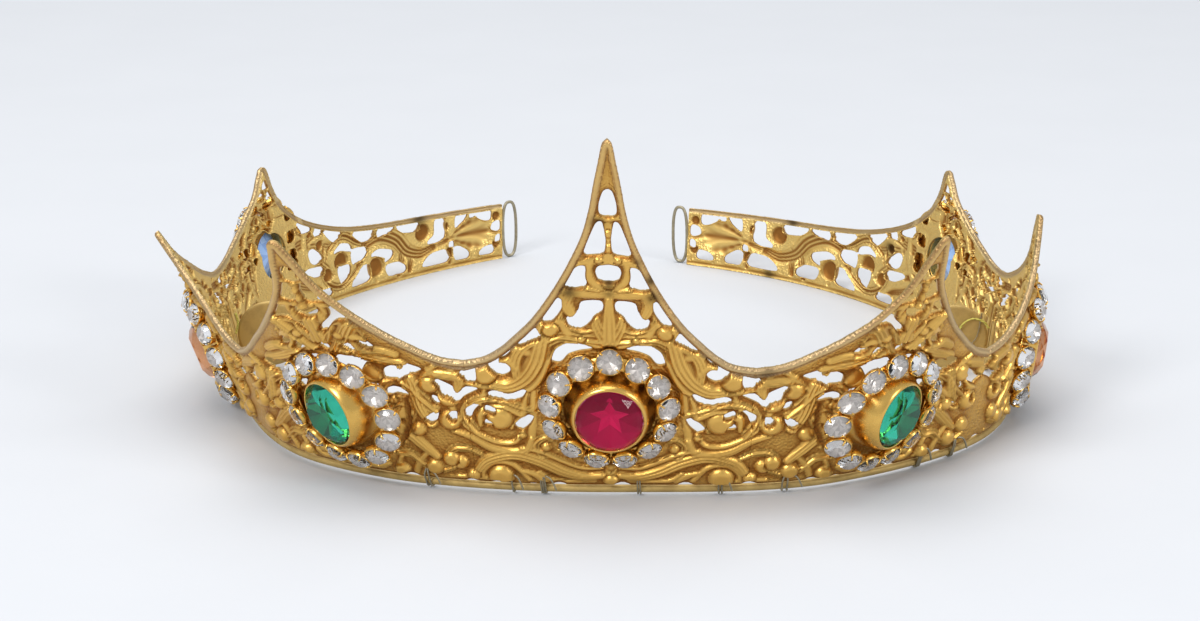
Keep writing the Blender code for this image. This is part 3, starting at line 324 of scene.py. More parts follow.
STRAP = Motif(
    strokes=(
        S(
            ((30.5, 8.3), (33.6, 10.4), (38.2, 11.4), (43.0, 9.6), (46.4, 6.2), (50.6, 4.9), (54.2, 5.8)),
            (2.4, 3.9, 2.0),
            1.15,
            L,
        ),
        S(((33.2, 10.8), (36.8, 12.3), (40.6, 13.2)), (0.8, 1.2, 0.9), 0.8, L),
        S(((43.6, 10.0), (45.0, 7.4), (44.4, 4.2), (43.4, 1.6)), (2.0, 2.6, 1.6), 0.95, L),
        S(((46.8, 7.0), (47.4, 4.8), (46.8, 1.8)), (1.8, 2.2, 1.4), 0.9, L),
        S(((20.8, 12.0), (23.6, 14.0), (26.8, 13.8), (30.2, 11.8), (33.4, 10.6)), (1.7, 1.9, 1.2), 0.9, B),
        S(
            ((19.2, 12.4), (18.6, 9.6), (18.4, 7.0), (20.8, 3.9), (24.6, 2.7), (28.4, 4.2), (31.2, 6.4)),
            (2.6, 2.0, 1.6),
            0.9,
            B,
        ),
        S(((30.6, 8.0), (30.4, 5.6), (31.6, 4.6)), (1.6, 1.7, 1.5), 0.7, R),
        S(((18.6, 8.8), (20.6, 7.4), (21.6, 6.2)), (3.2, 2.6, 1.6), 0.8, L),
        S(((15.6, 13.4), (18.2, 13.0), (20.6, 12.6)), (3.6, 3.4, 2.2), 0.8, L),
        S(((10.4, 15.2), (13.6, 15.6), (17.0, 16.6), (19.6, 16.4)), (3.2, 2.4, 1.4), 0.8, L),
        S(((9.6, 6.4), (12.8, 5.2), (16.2, 4.2), (18.4, 2.4)), (2.6, 1.9, 1.2), 0.8, L),
        S(((9.0, 9.2), (12.4, 8.6), (16.4, 8.9), (18.6, 9.0)), (2.4, 1.4, 1.5), 0.7, R),
        S(((9.6, 18.8), (12.2, 16.8), (13.6, 14.2)), (1.7, 1.4, 2.0), 0.6, R),
        S(((16.2, 1.4), (15.2, 3.2)), (1.2, 1.2, 1.2), 0.5, R),
        S(((36.4, 6.6), (36.2, 4.4), (36.2, 1.4)), (0.8, 1.6, 1.6), 0.5, R),
        S(((50.8, 12.4), (50.8, 10.0)), (1.4, 1.2, 1.2), 0.4, R),
        S(((57.2, 13.0), (57.4, 9.9), (58.4, 6.6), (58.9, 3.6), (58.9, 1.2)), (1.3, 1.6, 1.3), 0.6, R),
        S(((53.8, 6.2), (56.4, 6.5), (58.4, 6.7)), (2.2, 2.0, 1.6), 0.8, L),
        S(((59.0, 7.0), (61.4, 7.2)), (1.4, 1.4, 1.4), 0.6, R),
        S(((64.0, 11.0), (65.8, 12.6)), (1.2, 1.4, 1.4), 0.4, R),
        S(((67.0, 2.8), (67.4, 1.2)), (1.3, 1.3, 1.3), 0.4, R),
        S(((70.2, 7.0), (72.6, 7.0)), (2.2, 2.0, 2.2), 0.6, R),
        S(((39.9, 12.6), (40.8, 13.6)), (1.2, 1.0, 1.2), 0.5, R),
        S(((34.2, 12.4), (34.5, 14.2)), (1.1, 0.9, 1.1), 0.5, R),
        S(((24.6, 10.2), (24.4, 12.6)), (1.3, 1.3, 1.3), 0.5, R),
        S(((73.3, 1.0), (73.3, 13.0)), (1.6, 1.8, 1.6), 0.4, R),
    ),
    beads=(
        Bead(36.2, 4.6, 2.4),
        Bead(50.8, 9.9, 2.1),
        Bead(57.3, 10.0, 1.35),
        Bead(59.0, 3.8, 1.4),
        Bead(24.6, 8.4, 2.2),
        Bead(20.2, 6.2, 1.7),
        Bead(17.8, 13.5, 1.3),
        Bead(72.4, 10.4, 1.1),
        Bead(72.4, 3.8, 1.1),
        Bead(14.4, 16.6, 0.9),
    ),
)

STRAP_SHELL = Shell(65.4, 7.2, 5.3, 4.1, 11, 1.0)

# Upright leaf between the last two points of each side, about the middle of the valley.
VALLEY_LEAF = Motif(
    strokes=(
        S(((0, 3.6), (0, 8.5), (0, 14.0)), (2.6, 3.8, 1.6), 1.0, L),
        S(((1.4, 3.4), (3.0, 7.0), (2.6, 10.6), (4.0, 13.6)), (1.4, 2.0, 1.0), 0.85, L),
        S(((0.6, 14.2), (2.4, 15.6), (4.4, 15.2), (5.0, 13.4)), (1.4, 1.5, 1.1), 0.8, R),
    ),
    beads=(Bead(0, 16.4, 1.5), Bead(3.9, 4.4, 1.2), Bead(5.2, 9.2, 1.1)),
)
VALLEY_GAPS: tuple[Outline, ...] = (
    ((1.2, 16.6), (2.8, 17.4), (4.6, 17.2), (2.6, 16.6)),
    ((1.9, 10.4), (2.1, 13.2), (3.2, 13.8), (2.7, 12.0)),
)

# Gaps between the scrolls, in the same measures as the strokes.
TIP_GAPS: tuple[Outline, ...] = (
    ((-1.2, 57.7), (1.2, 57.7), (1.15, 60.0), (0.5, 62.3), (-0.5, 62.3), (-1.15, 60.0)),
    ((1.2, 56.4), (1.8, 56.0), (3.9, 50.2), (2.2, 50.2), (0.9, 50.2), (0.7, 53.0)),
    ((-1.6, 47.6), (1.6, 47.6), (1.9, 46.4), (1.5, 45.0), (0.6, 44.9), (-0.6, 44.9), (-1.5, 45.0),
     (-1.9, 46.4)),
    ((3.9, 47.8), (4.8, 48.0), (7.2, 44.4), (5.6, 43.8), (3.7, 44.0), (4.1, 46.0)),
)
CENTRE_GAPS: tuple[Outline, ...] = (
    (
        (1.6, 40.6),
        (4.4, 40.7),
        (4.6, 39.2),
        (5.6, 37.8),
        (6.8, 37.6),
        (6.4, 36.0),
        (4.6, 35.4),
        (3.4, 36.5),
        (2.7, 38.0),
        (1.4, 38.6),
        (1.2, 40.0),
    ),
    ((7.9, 41.6), (8.4, 41.3), (10.8, 37.1), (9.4, 37.2), (8.6, 38.3), (7.9, 39.6)),
    ((12.0, 35.5), (13.5, 34.5), (15.5, 32.5), (14.5, 32.3), (13.0, 33.3), (11.3, 34.0)),
    (
        (16.5, 30.8),
        (18.0, 30.5),
        (20.5, 28.5),
        (19.8, 27.0),
        (18.3, 25.3),
        (17.0, 26.0),
        (16.8, 27.5),
        (18.5, 27.8),
        (18.8, 29.2),
        (17.3, 29.8),
    ),
    ((2.8, 31.0), (4.5, 32.0), (7.0, 32.3), (8.8, 31.0), (9.5, 28.5), (8.3, 28.3), (7.2, 30.0), (5.0, 30.8)),
    ((14.3, 22.5), (15.3, 22.0), (17.0, 21.3), (20.0, 21.8), (20.8, 21.0), (17.5, 20.3), (15.3, 20.5)),
    ((22.5, 19.0), (23.7, 18.7), (24.7, 17.8), (24.8, 16.7), (24.3, 16.2), (24.0, 17.3), (23.2, 18.3)),
    ((13.3, 17.0), (15.0, 16.5), (16.3, 15.0), (16.0, 14.3), (15.0, 14.3), (14.0, 15.5)),
    ((19.8, 17.6), (21.4, 17.8), (21.2, 18.6), (20.0, 18.5)),
    ((20.4, 14.9), (21.6, 14.9), (21.4, 15.6), (20.5, 15.6)),
)
SIDE_GAPS: tuple[Outline, ...] = (
    ((25.3, 26.8), (23.3, 26.0), (22.8, 25.3), (23.7, 24.7), (23.7, 24.0), (25.0, 23.8), (25.3, 25.3)),
    (
        (25.5, 22.2),
        (23.3, 22.3),
        (22.8, 21.3),
        (21.8, 21.0),
        (21.0, 22.3),
        (18.0, 23.8),
        (19.0, 22.3),
        (19.2, 20.7),
        (21.0, 20.3),
        (21.7, 19.2),
        (22.5, 20.3),
        (24.0, 21.3),
    ),
    ((21.2, 17.2), (20.1, 16.4), (20.7, 15.5), (21.3, 15.7)),
    ((18.5, 18.6), (18.3, 19.6), (17.4, 20.0), (17.7, 19.0)),
    ((18.0, 16.6), (17.5, 16.4), (15.6, 15.0), (16.7, 14.7), (17.5, 15.0)),
    ((16.0, 25.7), (14.3, 26.3), (12.3, 27.0), (13.0, 26.3), (14.3, 24.7), (15.0, 25.0)),
    ((13.7, 24.5), (12.7, 25.5), (11.0, 25.8), (9.7, 24.8), (9.5, 23.2), (10.8, 23.2), (12.0, 23.3),
     (12.7, 24.0)),
    ((13.3, 20.0), (12.3, 20.8), (10.8, 21.1), (9.7, 20.5), (9.6, 19.5), (10.3, 19.8), (11.3, 20.2),
     (12.7, 19.8)),
    ((8.8, 30.2), (8.0, 31.3), (7.0, 32.4), (6.7, 31.7), (7.0, 30.8), (7.8, 30.3)),
    ((6.1, 29.2), (5.3, 30.3), (4.8, 31.2), (3.5, 30.0), (4.3, 29.2), (5.3, 28.7)),
    (
        (8.0, 26.8),
        (6.0, 26.7),
        (2.0, 27.2),
        (1.3, 26.0),
        (0.3, 24.7),
        (3.0, 24.2),
        (3.8, 21.5),
        (5.0, 21.3),
        (5.3, 24.0),
        (6.3, 26.2),
    ),
    ((4.7, 37.0), (4.0, 37.5), (1.7, 35.0), (1.2, 33.8), (1.7, 33.8), (3.3, 36.0)),
    ((0.9, 30.5), (0.0, 30.5), (-0.9, 30.5), (-0.6, 28.7), (0.0, 28.2), (0.6, 28.7)),
    ((8.2, 21.5), (6.5, 21.2), (7.0, 20.0), (7.7, 20.0)),
)
STRAP_GAPS: tuple[Outline, ...] = (
    ((1.0, 30.0), (3.3, 27.3), (1.4, 27.0), (-0.2, 25.8), (-0.9, 25.8)),
    ((6.0, 22.0), (8.0, 22.2), (7.8, 23.4), (6.2, 23.6)),
    ((6.0, 17.0), (8.4, 17.2), (8.7, 19.2), (6.2, 19.0)),
    ((5.6, 13.0), (8.8, 13.2), (9.0, 14.8), (5.8, 15.0)),
    ((5.2, 11.2), (8.8, 11.3), (9.0, 12.5), (5.4, 12.7)),
    ((9.8, 20.4), (14.0, 18.5), (14.8, 17.7), (10.6, 18.1)),
    ((16.0, 16.2), (18.7, 16.4), (18.5, 17.6), (16.2, 17.7)),
    ((19.0, 16.5), (25.6, 15.0), (23.0, 13.5), (21.4, 14.2)),
    ((13.3, 13.0), (15.6, 13.0), (19.0, 10.4), (16.0, 10.0), (14.0, 10.8)),
    ((11.4, 9.2), (18.3, 8.5), (18.7, 7.0), (15.2, 7.3)),
    ((22.0, 10.8), (24.5, 12.3), (27.5, 11.5), (28.0, 10.4), (25.0, 11.3)),
    ((28.3, 14.2), (35.2, 13.5), (35.6, 11.5), (32.0, 11.5)),
    ((28.0, 10.4), (33.7, 9.6), (32.0, 7.7), (28.3, 7.0)),
    ((23.0, 7.0), (27.5, 7.0), (27.0, 4.6), (24.5, 3.3)),
    ((15.6, 3.1), (20.6, 3.1), (21.0, 2.0), (16.0, 2.0)),
    ((32.0, 5.8), (34.0, 5.4), (34.0, 2.3), (27.5, 2.0), (30.0, 3.8)),
    ((34.5, 7.7), (36.8, 8.5), (41.4, 7.3), (41.0, 6.2), (39.0, 5.4), (39.4, 6.6), (36.6, 7.6)),
    ((37.0, 13.5), (41.8, 13.1), (41.4, 12.0), (37.0, 11.5)),
    ((42.5, 13.0), (49.0, 12.7), (50.0, 10.8), (45.0, 11.2)),
    ((39.0, 4.3), (43.0, 4.3), (45.2, 3.0), (45.2, 2.0), (40.0, 2.0)),
    ((50.0, 2.0), (53.3, 4.2), (56.8, 4.6), (58.3, 3.8), (58.7, 2.0)),
    ((54.5, 12.3), (57.2, 12.0), (57.5, 7.7), (55.2, 7.0), (52.0, 7.2), (54.6, 8.6)),
    ((60.6, 9.4), (62.6, 10.6), (64.0, 12.2), (60.8, 12.3)),
    ((65.0, 11.4), (66.0, 11.4), (66.0, 12.2), (65.0, 12.2)),
    ((66.9, 11.3), (69.0, 10.2), (70.6, 9.9), (70.6, 12.0), (67.0, 12.2)),
    ((71.0, 7.7), (73.2, 6.9), (73.2, 9.0), (71.4, 8.8)),
    ((72.3, 4.5), (73.2, 4.5), (73.2, 5.7), (72.3, 5.5)),
    ((67.4, 2.0), (68.6, 3.2), (71.2, 3.5), (71.4, 1.9)),
    ((60.2, 4.7), (61.6, 4.5), (64.2, 2.9), (64.2, 1.9), (60.4, 1.9)),
    ((59.0, 5.2), (59.8, 5.3), (59.8, 6.1), (59.0, 6.0)),
)


@dataclass(frozen=True)
class Bend:
    """Turn of the foot line at a distance from the front, in degrees, on the right and left sides."""

    along: float
    right: float
    left: float


@dataclass(frozen=True)
class Lean:
    """Outward lean of the sheet at a distance from the front, low down and high up, in degrees."""

    along: float
    right_low: float
    right_high: float
    left_low: float
    left_high: float


@dataclass(frozen=True)
class Knot:
    """A place on a plain line."""

    at: float
    value: float


@dataclass(frozen=True)
class BandShape:
    """The bent sheet of the band, the same as the solid's: drawn flat, placed in space."""

    wall: float = 0.8
    edge_raise: float = 0.15
    step: float = 0.5
    reach: float = 226.0
    bend_start: float = 18.0
    bend_end: float = 34.0
    strap_start: float = 149.0
    strap_length: float = 74.0
    end_right: float = 223.0
    end_left: float = 218.5
    model_tip: float = 72.0
    model_valley: float = 28.0
    # The turns and the leans come from a scratch least-squares fit to places read in the photograph,
    # mostly rounded to a degree. report.md names this under the rules that were not kept.
    bends: tuple[Bend, ...] = (
        Bend(0, 0, 0),
        Bend(10, 0, 4),
        Bend(20, 3, 9),
        Bend(28, 9, 13),
        Bend(36, 18, 18),
        Bend(40, 25, 24),
        Bend(56, 35, 36),
        Bend(62, 39, 47),
        Bend(70, 46, 59),
        Bend(82, 63, 69),
        Bend(96, 81, 73),
        Bend(112, 96, 82),
        Bend(130, 106, 95),
        Bend(150, 115, 111),
        Bend(172, 126, 126),
        Bend(196, 141, 137),
        Bend(226, 157, 150),
    )
    leans: tuple[Lean, ...] = (
        Lean(0, 13, 14, 13, 14),
        Lean(20, 18, 26, 14, 21),
        Lean(40, 16, 33, 14, 31),
        Lean(60, 12, 27, 16, 35),
        Lean(80, 10, 14, 18, 34),
        Lean(100, 8, 4, 19, 30),
        Lean(130, 7, 0, 9, 10),
        Lean(170, 6, 1, 1, -4),
        Lean(226, 7, 5, -2, -8),
    )
    saddles: tuple[Knot, ...] = (Knot(0, 28.0), Knot(24.5, 28.0), Knot(48, 26.0), Knot(72.5, 21.0),
                                 Knot(230, 21.0))
    valleys: tuple[float, ...] = (24.5, 72.5, 123.0)
    point_edge: tuple[Knot, ...] = (
        Knot(0.00, 1.000),
        Knot(0.03, 0.985),
        Knot(0.06, 0.900),
        Knot(0.09, 0.810),
        Knot(0.12, 0.705),
        Knot(0.17, 0.590),
        Knot(0.245, 0.485),
        Knot(0.33, 0.385),
        Knot(0.43, 0.285),
        Knot(0.53, 0.200),
        Knot(0.63, 0.135),
        Knot(0.75, 0.065),
        Knot(0.87, 0.020),
        Knot(1.00, 0.000),
    )
    strap_edge: tuple[Knot, ...] = (
        Knot(0.0, 35.0),
        Knot(0.8, 34.3),
        Knot(2.5, 30.0),
        Knot(5.0, 26.0),
        Knot(10.0, 22.0),
        Knot(15.0, 19.5),
        Knot(20.0, 17.7),
        Knot(25.0, 16.3),
        Knot(30.0, 15.3),
        Knot(40.0, 14.2),
        Knot(50.0, 13.7),
        Knot(65.0, 13.2),
        Knot(74.0, 13.0),
    )

    def end_of(self, sign: float) -> float:
        """Length of one side, from the front to its strap's end."""
        return self.end_right if sign > 0 else self.end_left

    def strap_scale(self, sign: float) -> float:
        """How much one strap is drawn out against its model."""
        return (self.end_of(sign) - self.strap_start) / self.strap_length

    def foot_line(self, side: str) -> tuple[Array, Array, Array, Array]:
        """The line of the foot on one side.

        Args:
            side: "right" or "left".

        Returns:
            Distances along it, X, Y and turn in radians.
        """
        run = np.arange(0.0, self.reach + self.step, self.step)
        turn = np.radians(np.interp(run, [b.along for b in self.bends],
                                    [getattr(b, side) for b in self.bends]))
        padded = np.concatenate([-turn[6:0:-1], turn, np.full(6, turn[-1])])
        turn = np.convolve(padded, np.ones(13) / 13.0, mode="valid")
        middle = (turn[1:] + turn[:-1]) / 2.0
        x = np.concatenate([[0.0], np.cumsum(np.cos(middle)) * self.step])
        y = np.concatenate([[0.0], np.cumsum(np.sin(middle)) * self.step])
        return run, x, y, turn

    def lean_at(self, up: Array, low: Array, high: Array) -> Array:
        """Lean of the sheet at a height, going smoothly from the low lean to the high one."""
        share = np.clip((up - self.bend_start) / (self.bend_end - self.bend_start), 0.0, 1.0)
        return low + (high - low) * share * share * (3.0 - 2.0 * share)

    def place_side(self, side: str, along: Array, up: Array, out: Array) -> Array:
        """Places of one side of the band.

        Args:
            side: "right" or "left".
            along: Distances from the front, positive.
            up: Heights up the sheet.
            out: Distances out from its inner face.

        Returns:
            Points in millimetres, last axis X, Y, Z.
        """
        run, line_x, line_y, line_turn = self.foot_line(side)
        leans = [row.along for row in self.leans]
        low = np.radians(np.interp(along, leans, [getattr(row, side + "_low") for row in self.leans]))
        high = np.radians(np.interp(along, leans, [getattr(row, side + "_high") for row in self.leans]))
        turn = np.interp(along, run, line_turn)
        reach = np.zeros_like(up)
        height = np.zeros_like(up)
        steps = 16
        for k in range(steps):
            lean = self.lean_at(up * (k + 0.5) / steps, low, high)
            reach += np.sin(lean) * up / steps
            height += np.cos(lean) * up / steps
        lean = self.lean_at(up, low, high)
        reach = reach + out * np.cos(lean)
        lift = (self.wall + self.edge_raise) * np.maximum(np.sin(low), 0.0)
        height = height - out * np.sin(lean) + lift
        sign = 1.0 if side == "right" else -1.0
        x = np.interp(along, run, line_x) + np.sin(turn) * reach
        y = np.interp(along, run, line_y) - np.cos(turn) * reach
        return np.stack([sign * x, y, height], axis=-1)

    def place(self, along: Array | float, up: Array | float, out: Array | float) -> Array:
        """Places of the whole band in metres, with the left side at negative along."""
        along, up, out = np.broadcast_arrays(
            np.asarray(along, dtype=float), np.asarray(up, dtype=float), np.asarray(out, dtype=float)
        )
        right = self.place_side("right", np.abs(along), up, out)
        left = self.place_side("left", np.abs(along), up, out)
        return (np.where((along < 0.0)[..., None], left, right) - MIDDLE) * METRES

    def frame_at(self, along: float, up: float, out: float) -> Matrix:
        """Matrix of the directions along, up and out of the band at one place."""
        origin = self.place(along, up, out)
        tangent = self.place(along + 0.5, up, out) - self.place(along - 0.5, up, out)
        tangent /= np.linalg.norm(tangent)
        rise = self.place(along, up + 0.5, out) - self.place(along, up - 0.5, out)
        rise -= tangent * (rise @ tangent)
        rise /= np.linalg.norm(rise)
        outward = np.cross(tangent, rise)
        rows = [[tangent[k], rise[k], outward[k], origin[k]] for k in range(3)]
        return Matrix(rows + [[0.0, 0.0, 0.0, 1.0]])

    def saddle(self, along: Array | float) -> Array:
        """Height of the line through the valleys."""
        return np.interp(np.abs(along), [k.at for k in self.saddles], [k.value for k in self.saddles])

    def top_edge(self, along: Array) -> Array:
        """Height of the top edge."""
        along = np.asarray(along, dtype=float)
        run = np.abs(along)
        height = np.zeros_like(run)
        stops = [-self.valleys[0], *self.valleys, 1000.0]
        for point in POINTS:
            if point.along < 0:
                continue
            before = max(s for s in stops if s < point.along)
            after = min(s for s in stops if s > point.along)
            reach = np.where(run > point.along, after - point.along, point.along - before)
            left = flowing(np.abs(run - point.along) / reach, self.point_edge)
            low = self.saddle(run)
            here = (run >= before) & (run <= after)
            height = np.where(here, low + (point.tip - low) * left, height)
        for sign in (1.0, -1.0):
            reach = (run - self.strap_start) / self.strap_scale(sign)
            here = (run > self.strap_start) & (np.sign(along) == sign)
            height = np.where(here, flowing(reach, self.strap_edge), height)
        return height

    def bottom_edge(self, along: Array) -> Array:
        """Height of the foot, which stands on the rod in front and on the floor behind."""
        return 2.4 * (1.0 - np.clip((np.abs(along) - 117.0) / 5.0, 0.0, 1.0))

    def settle(self, along: float, up: float, tip: float, low_model: float, tip_model: float) -> float:
        """Height on a point of one tip for a height read on a model point."""
        low = float(self.saddle(along))
        if up <= low_model:
            return up * low / low_model
        return low + (up - low_model) * (tip - low) / (tip_model - low_model)


def flowing(x: Array, knots: Sequence[Knot]) -> Array:
    """A smooth line through knots that never overshoots them.

    Args:
        x: Where it is read.
        knots: The knots, in order.

    Returns:
        Its values.
    """
    at = np.array([k.at for k in knots])
    value = np.array([k.value for k in knots])
    width = np.diff(at)
    slope = np.diff(value) / width
    tangent = np.zeros(len(at))
    same = slope[1:] * slope[:-1] > 0
    tangent[1:-1][same] = (2.0 * slope[1:] * slope[:-1])[same] / (slope[1:] + slope[:-1])[same]
    tangent[0], tangent[-1] = slope[0], slope[-1]
    k = np.clip(np.searchsorted(at, x) - 1, 0, len(width) - 1)
    t = np.clip((x - at[k]) / width[k], 0.0, 1.0)
    t2, t3 = t * t, t * t * t
    head = value[k] * (2 * t3 - 3 * t2 + 1) + tangent[k] * width[k] * (t3 - 2 * t2 + t)
    return head + value[k + 1] * (3 * t2 - 2 * t3) + tangent[k + 1] * width[k] * (t3 - t2)


def smooth_path(path: Sequence[Pair], step: float = 0.18) -> Array:
    """A smooth line through a few places, in even steps."""
    knots = np.array(path, dtype=float)
    if len(knots) == 2:
        line = knots[0] + (knots[1] - knots[0]) * np.linspace(0.0, 1.0, 8)[:, None]
    else:
        ends = np.concatenate([[2 * knots[0] - knots[1]], knots, [2 * knots[-1] - knots[-2]]])
        t = np.linspace(0.0, 1.0, 14, endpoint=False)[:, None]
        parts = []
        for k in range(1, len(ends) - 2):
            a, b, c, d = ends[k - 1 : k + 3]
            parts.append(
                0.5 * (
                    2 * b + (c - a) * t + (2 * a - 5 * b + 4 * c - d) * t**2
                    + (3 * b - a - 3 * c + d) * t**3
                )
            )
        line = np.concatenate([*parts, knots[-1:]])
    length = np.concatenate([[0.0], np.cumsum(np.linalg.norm(np.diff(line, axis=0), axis=1))])
    even = np.linspace(0.0, length[-1], max(4, int(length[-1] / step)))
    return np.stack([np.interp(even, length, line[:, k]) for k in range(line.shape[1])], axis=1)


def blurred(values: Array, reach: int) -> Array:
    """Values averaged over a square of cells, twice."""
    for _ in range(2):
        for axis in (0, 1):
            padded = np.pad(values, [(reach + 1, reach) if k == axis else (0, 0) for k in (0, 1)],
                            mode="edge")
            total = np.cumsum(padded, axis=axis)
            size = values.shape[axis]
            high = np.take(total, np.arange(2 * reach + 1, 2 * reach + 1 + size), axis=axis)
            low = np.take(total, np.arange(size), axis=axis)
            values = (high - low) / (2 * reach + 1)
    return values


@dataclass(frozen=True)
class Stain:
    """A dark spot on the sheet."""

    along: float
    up: float
    radius: float
    depth: float


STAINS = (
    Stain(7.2, 46.3, 1.0, 0.8),
    Stain(0.0, 44.6, 1.2, 0.8),
    Stain(-6.3, 43.4, 1.4, 0.8),
    Stain(7.4, 42.9, 1.2, 0.7),
    Stain(-1.6, 56.6, 1.2, 0.6),
    Stain(0.0, 42.6, 0.9, 0.6),
    Stain(26.2, 27.2, 1.8, 0.5),
    Stain(4.9, 49.6, 0.8, 0.5),
    Stain(196.5, 13.4, 1.6, 0.7),
    Stain(201.8, 0.8, 1.5, 0.7),
    Stain(167.4, 13.6, 1.4, 0.8),
    Stain(-196.0, 13.3, 2.0, 0.7),
    Stain(-40.0, 30.0, 1.5, 0.5),
)


class Relief:
    """The flat drawing of the band on a fine lattice: where there is metal, and how high it is raised."""

    ease = 0.3
    strap_ease = 0.45
    seat_hole = 4.9

    def __init__(self, shape: BandShape, step: float) -> None:
        """Makes an empty drawing.

        Args:
            shape: The band.
            step: Size of a cell in millimetres.
        """
        self.shape = shape
        self.step = step
        self.across = np.arange(-round(219.0 / step), round(223.6 / step) + 1) * step
        self.ups = np.arange(-2, round(73.0 / step)) * step
        self.run, self.up = np.meshgrid(self.across, self.ups)
        notch = np.clip(np.sin(0.83 * self.across) * np.sin(0.31 * self.across + 0.7) - 0.25, 0.0, 1.0)
        self.foot = (shape.bottom_edge(self.across) + 0.8 * notch * (np.abs(self.across) < 110.0))[None, :]
        self.rim = self.distance_to_top()
        ends = np.where(self.run > 0, shape.end_right - self.run, shape.end_left + self.run)
        self.inside = np.minimum(np.minimum(self.rim, self.up - self.foot), ends)
        self.gap = np.full(self.run.shape, -9.0)
        self.height = np.zeros(self.run.shape)
        self.seat = np.full(self.run.shape, 99.0)
        self.halo = np.full(self.run.shape, 99.0)
        for point in POINTS:
            across = self.run - point.seat_along
            self.seat = np.minimum(self.seat, np.hypot(across, self.up - point.seat))
            self.halo = np.minimum(self.halo, np.hypot(across, self.up - point.seat - 0.4))

    def distance_to_top(self) -> Array:
        """Distance from each cell to the top edge, positive below it and true only near it."""
        fine = np.arange(self.across[0], self.across[-1], 0.1)
        edge = self.shape.top_edge(fine)
        length = np.concatenate([[0.0], np.cumsum(np.hypot(np.diff(fine), np.diff(edge)))])
        even = np.arange(0.0, length[-1], 0.15)
        x, y = np.interp(even, length, fine), np.interp(even, length, edge)
        column = np.round((x - self.across[0]) / self.step).astype(int)
        row = np.round((y - self.ups[0]) / self.step).astype(int)
        near = 3.0
        best = np.full(self.run.shape, near)
        reach = int(near / self.step)
        for shift_x in range(-reach, reach + 1):
            for shift_y in range(-reach, reach + 1):
                a, b = column + shift_x, row + shift_y
                ok = (a >= 0) & (a < len(self.across)) & (b >= 0) & (b < len(self.ups))
                a, b = a[ok], b[ok]
                np.minimum.at(best, (b, a), np.hypot(self.across[a] - x[ok], self.ups[b] - y[ok]))
        return best * np.sign(self.shape.top_edge(self.across)[None, :] - self.up)

    def window(self, low: Array, high: Array) -> tuple[slice, slice]:
        """The part of the lattice between two corners."""
        a = max(0, int((low[0] - self.across[0]) / self.step))
        b = min(len(self.across), int((high[0] - self.across[0]) / self.step) + 2)
        c = max(0, int((low[1] - self.ups[0]) / self.step))
        d = min(len(self.ups), int((high[1] - self.ups[0]) / self.step) + 2)
        return slice(c, max(c, d)), slice(a, max(a, b))

    def stroke(self, path: Sequence[Pair], wide: Sequence[float], rise: float, form: Form) -> None:
        """Raises one stroke.

        Args:
            path: Places that it runs through.
            wide: Width at its start, middle and end.
            rise: Height of its crest.
            form: Its cross section.
        """
        line = smooth_path(path)
        t = np.linspace(0.0, 1.0, len(line))
        start, middle, end = (w / 2.0 for w in wide)
        half = start * (1 - t) * (1 - 2 * t) + middle * 4 * t * (1 - t) + end * t * (2 * t - 1)
        half = np.maximum(half, 0.15)
        heading = np.gradient(line, axis=0)
        heading /= np.linalg.norm(heading, axis=1, keepdims=True) + 1e-9
        margin = half.max() + 0.8
        win = self.window(line.min(axis=0) - margin, line.max(axis=0) + margin)
        run, up = self.run[win], self.up[win]
        if run.size == 0:
            return
        dx, dy = run[..., None] - line[:, 0], up[..., None] - line[:, 1]
        gap = np.sqrt(dx * dx + dy * dy)
        nearest = (gap - half).argmin(axis=-1)
        pick = np.indices(nearest.shape)
        gap = gap[pick[0], pick[1], nearest]
        width = half[nearest]
        side = (
            dy[pick[0], pick[1], nearest] * heading[nearest, 0]
            - dx[pick[0], pick[1], nearest] * heading[nearest, 1]
        )
        dome = np.sqrt(np.clip(1.0 - (gap / width) ** 2, 0.0, 1.0))
        lean = np.clip(side / width, -1.0, 1.0)
        if form is Form.ROUND:
            raised = rise * dome
        elif form is Form.RIBBON:
            raised = rise * np.minimum(dome * 1.5, 1.0) * (0.72 + 0.28 * np.cos(2.0 * math.pi * lean))
        else:
            depth = 0.13 * np.clip((width - 0.6) / 0.6, 0.0, 1.0)
            raised = rise * dome**0.7 * (1.0 - depth + depth * np.cos(4.0 * math.pi * lean))
        self.height[win] = np.where(gap < width, np.maximum(self.height[win], raised), self.height[win])

    def bead(self, run: float, up: float, radius: float) -> None:
        """Raises one round bead."""
        margin = radius + 1.0
        win = self.window((run - margin, up - margin), (run + margin, up + margin))
        gap = np.hypot(self.run[win] - run, self.up[win] - up)
        dome = np.sqrt(np.clip(1.0 - (gap / radius) ** 2, 0.0, 1.0))
        top = min(1.35, 0.35 + 0.62 * radius)
        raised = np.maximum(self.height[win] * 0.3, top * dome**0.8)
        self.height[win] = np.where(gap < radius, raised, self.height[win])

    def shell(self, row: Shell, sign: float, start: float, scale: float) -> None:
        """Raises one shell leaf on a strap.

        Args:
            row: The shell.
            sign: 1 on the right strap, -1 on the left.
            start: Where the strap starts along the foot.
            scale: How much the strap is drawn out.
        """
        middle = sign * (start + row.across * scale)
        win = self.window((middle - 7.0, row.up - 6.0), (middle + 7.0, row.up + 6.0))
        across, up = sign * (self.run[win] - middle), self.up[win] - row.up
        fold = np.cos(row.lobes * 1.35 * np.arctan2(up, across + 1.25 * row.half_long))
        edge = 1.0 + 0.06 * np.cos(row.lobes * np.arctan2(up / row.half_wide, across / row.half_long))
        reach = np.hypot(across / row.half_long, up / row.half_wide) / edge
        raised = row.rise * np.sqrt(np.clip(1.0 - reach**3, 0.0, 1.0)) * (0.86 + 0.14 * fold)
        self.height[win] = np.where(reach < 1.0, np.maximum(self.height[win], raised), self.height[win])

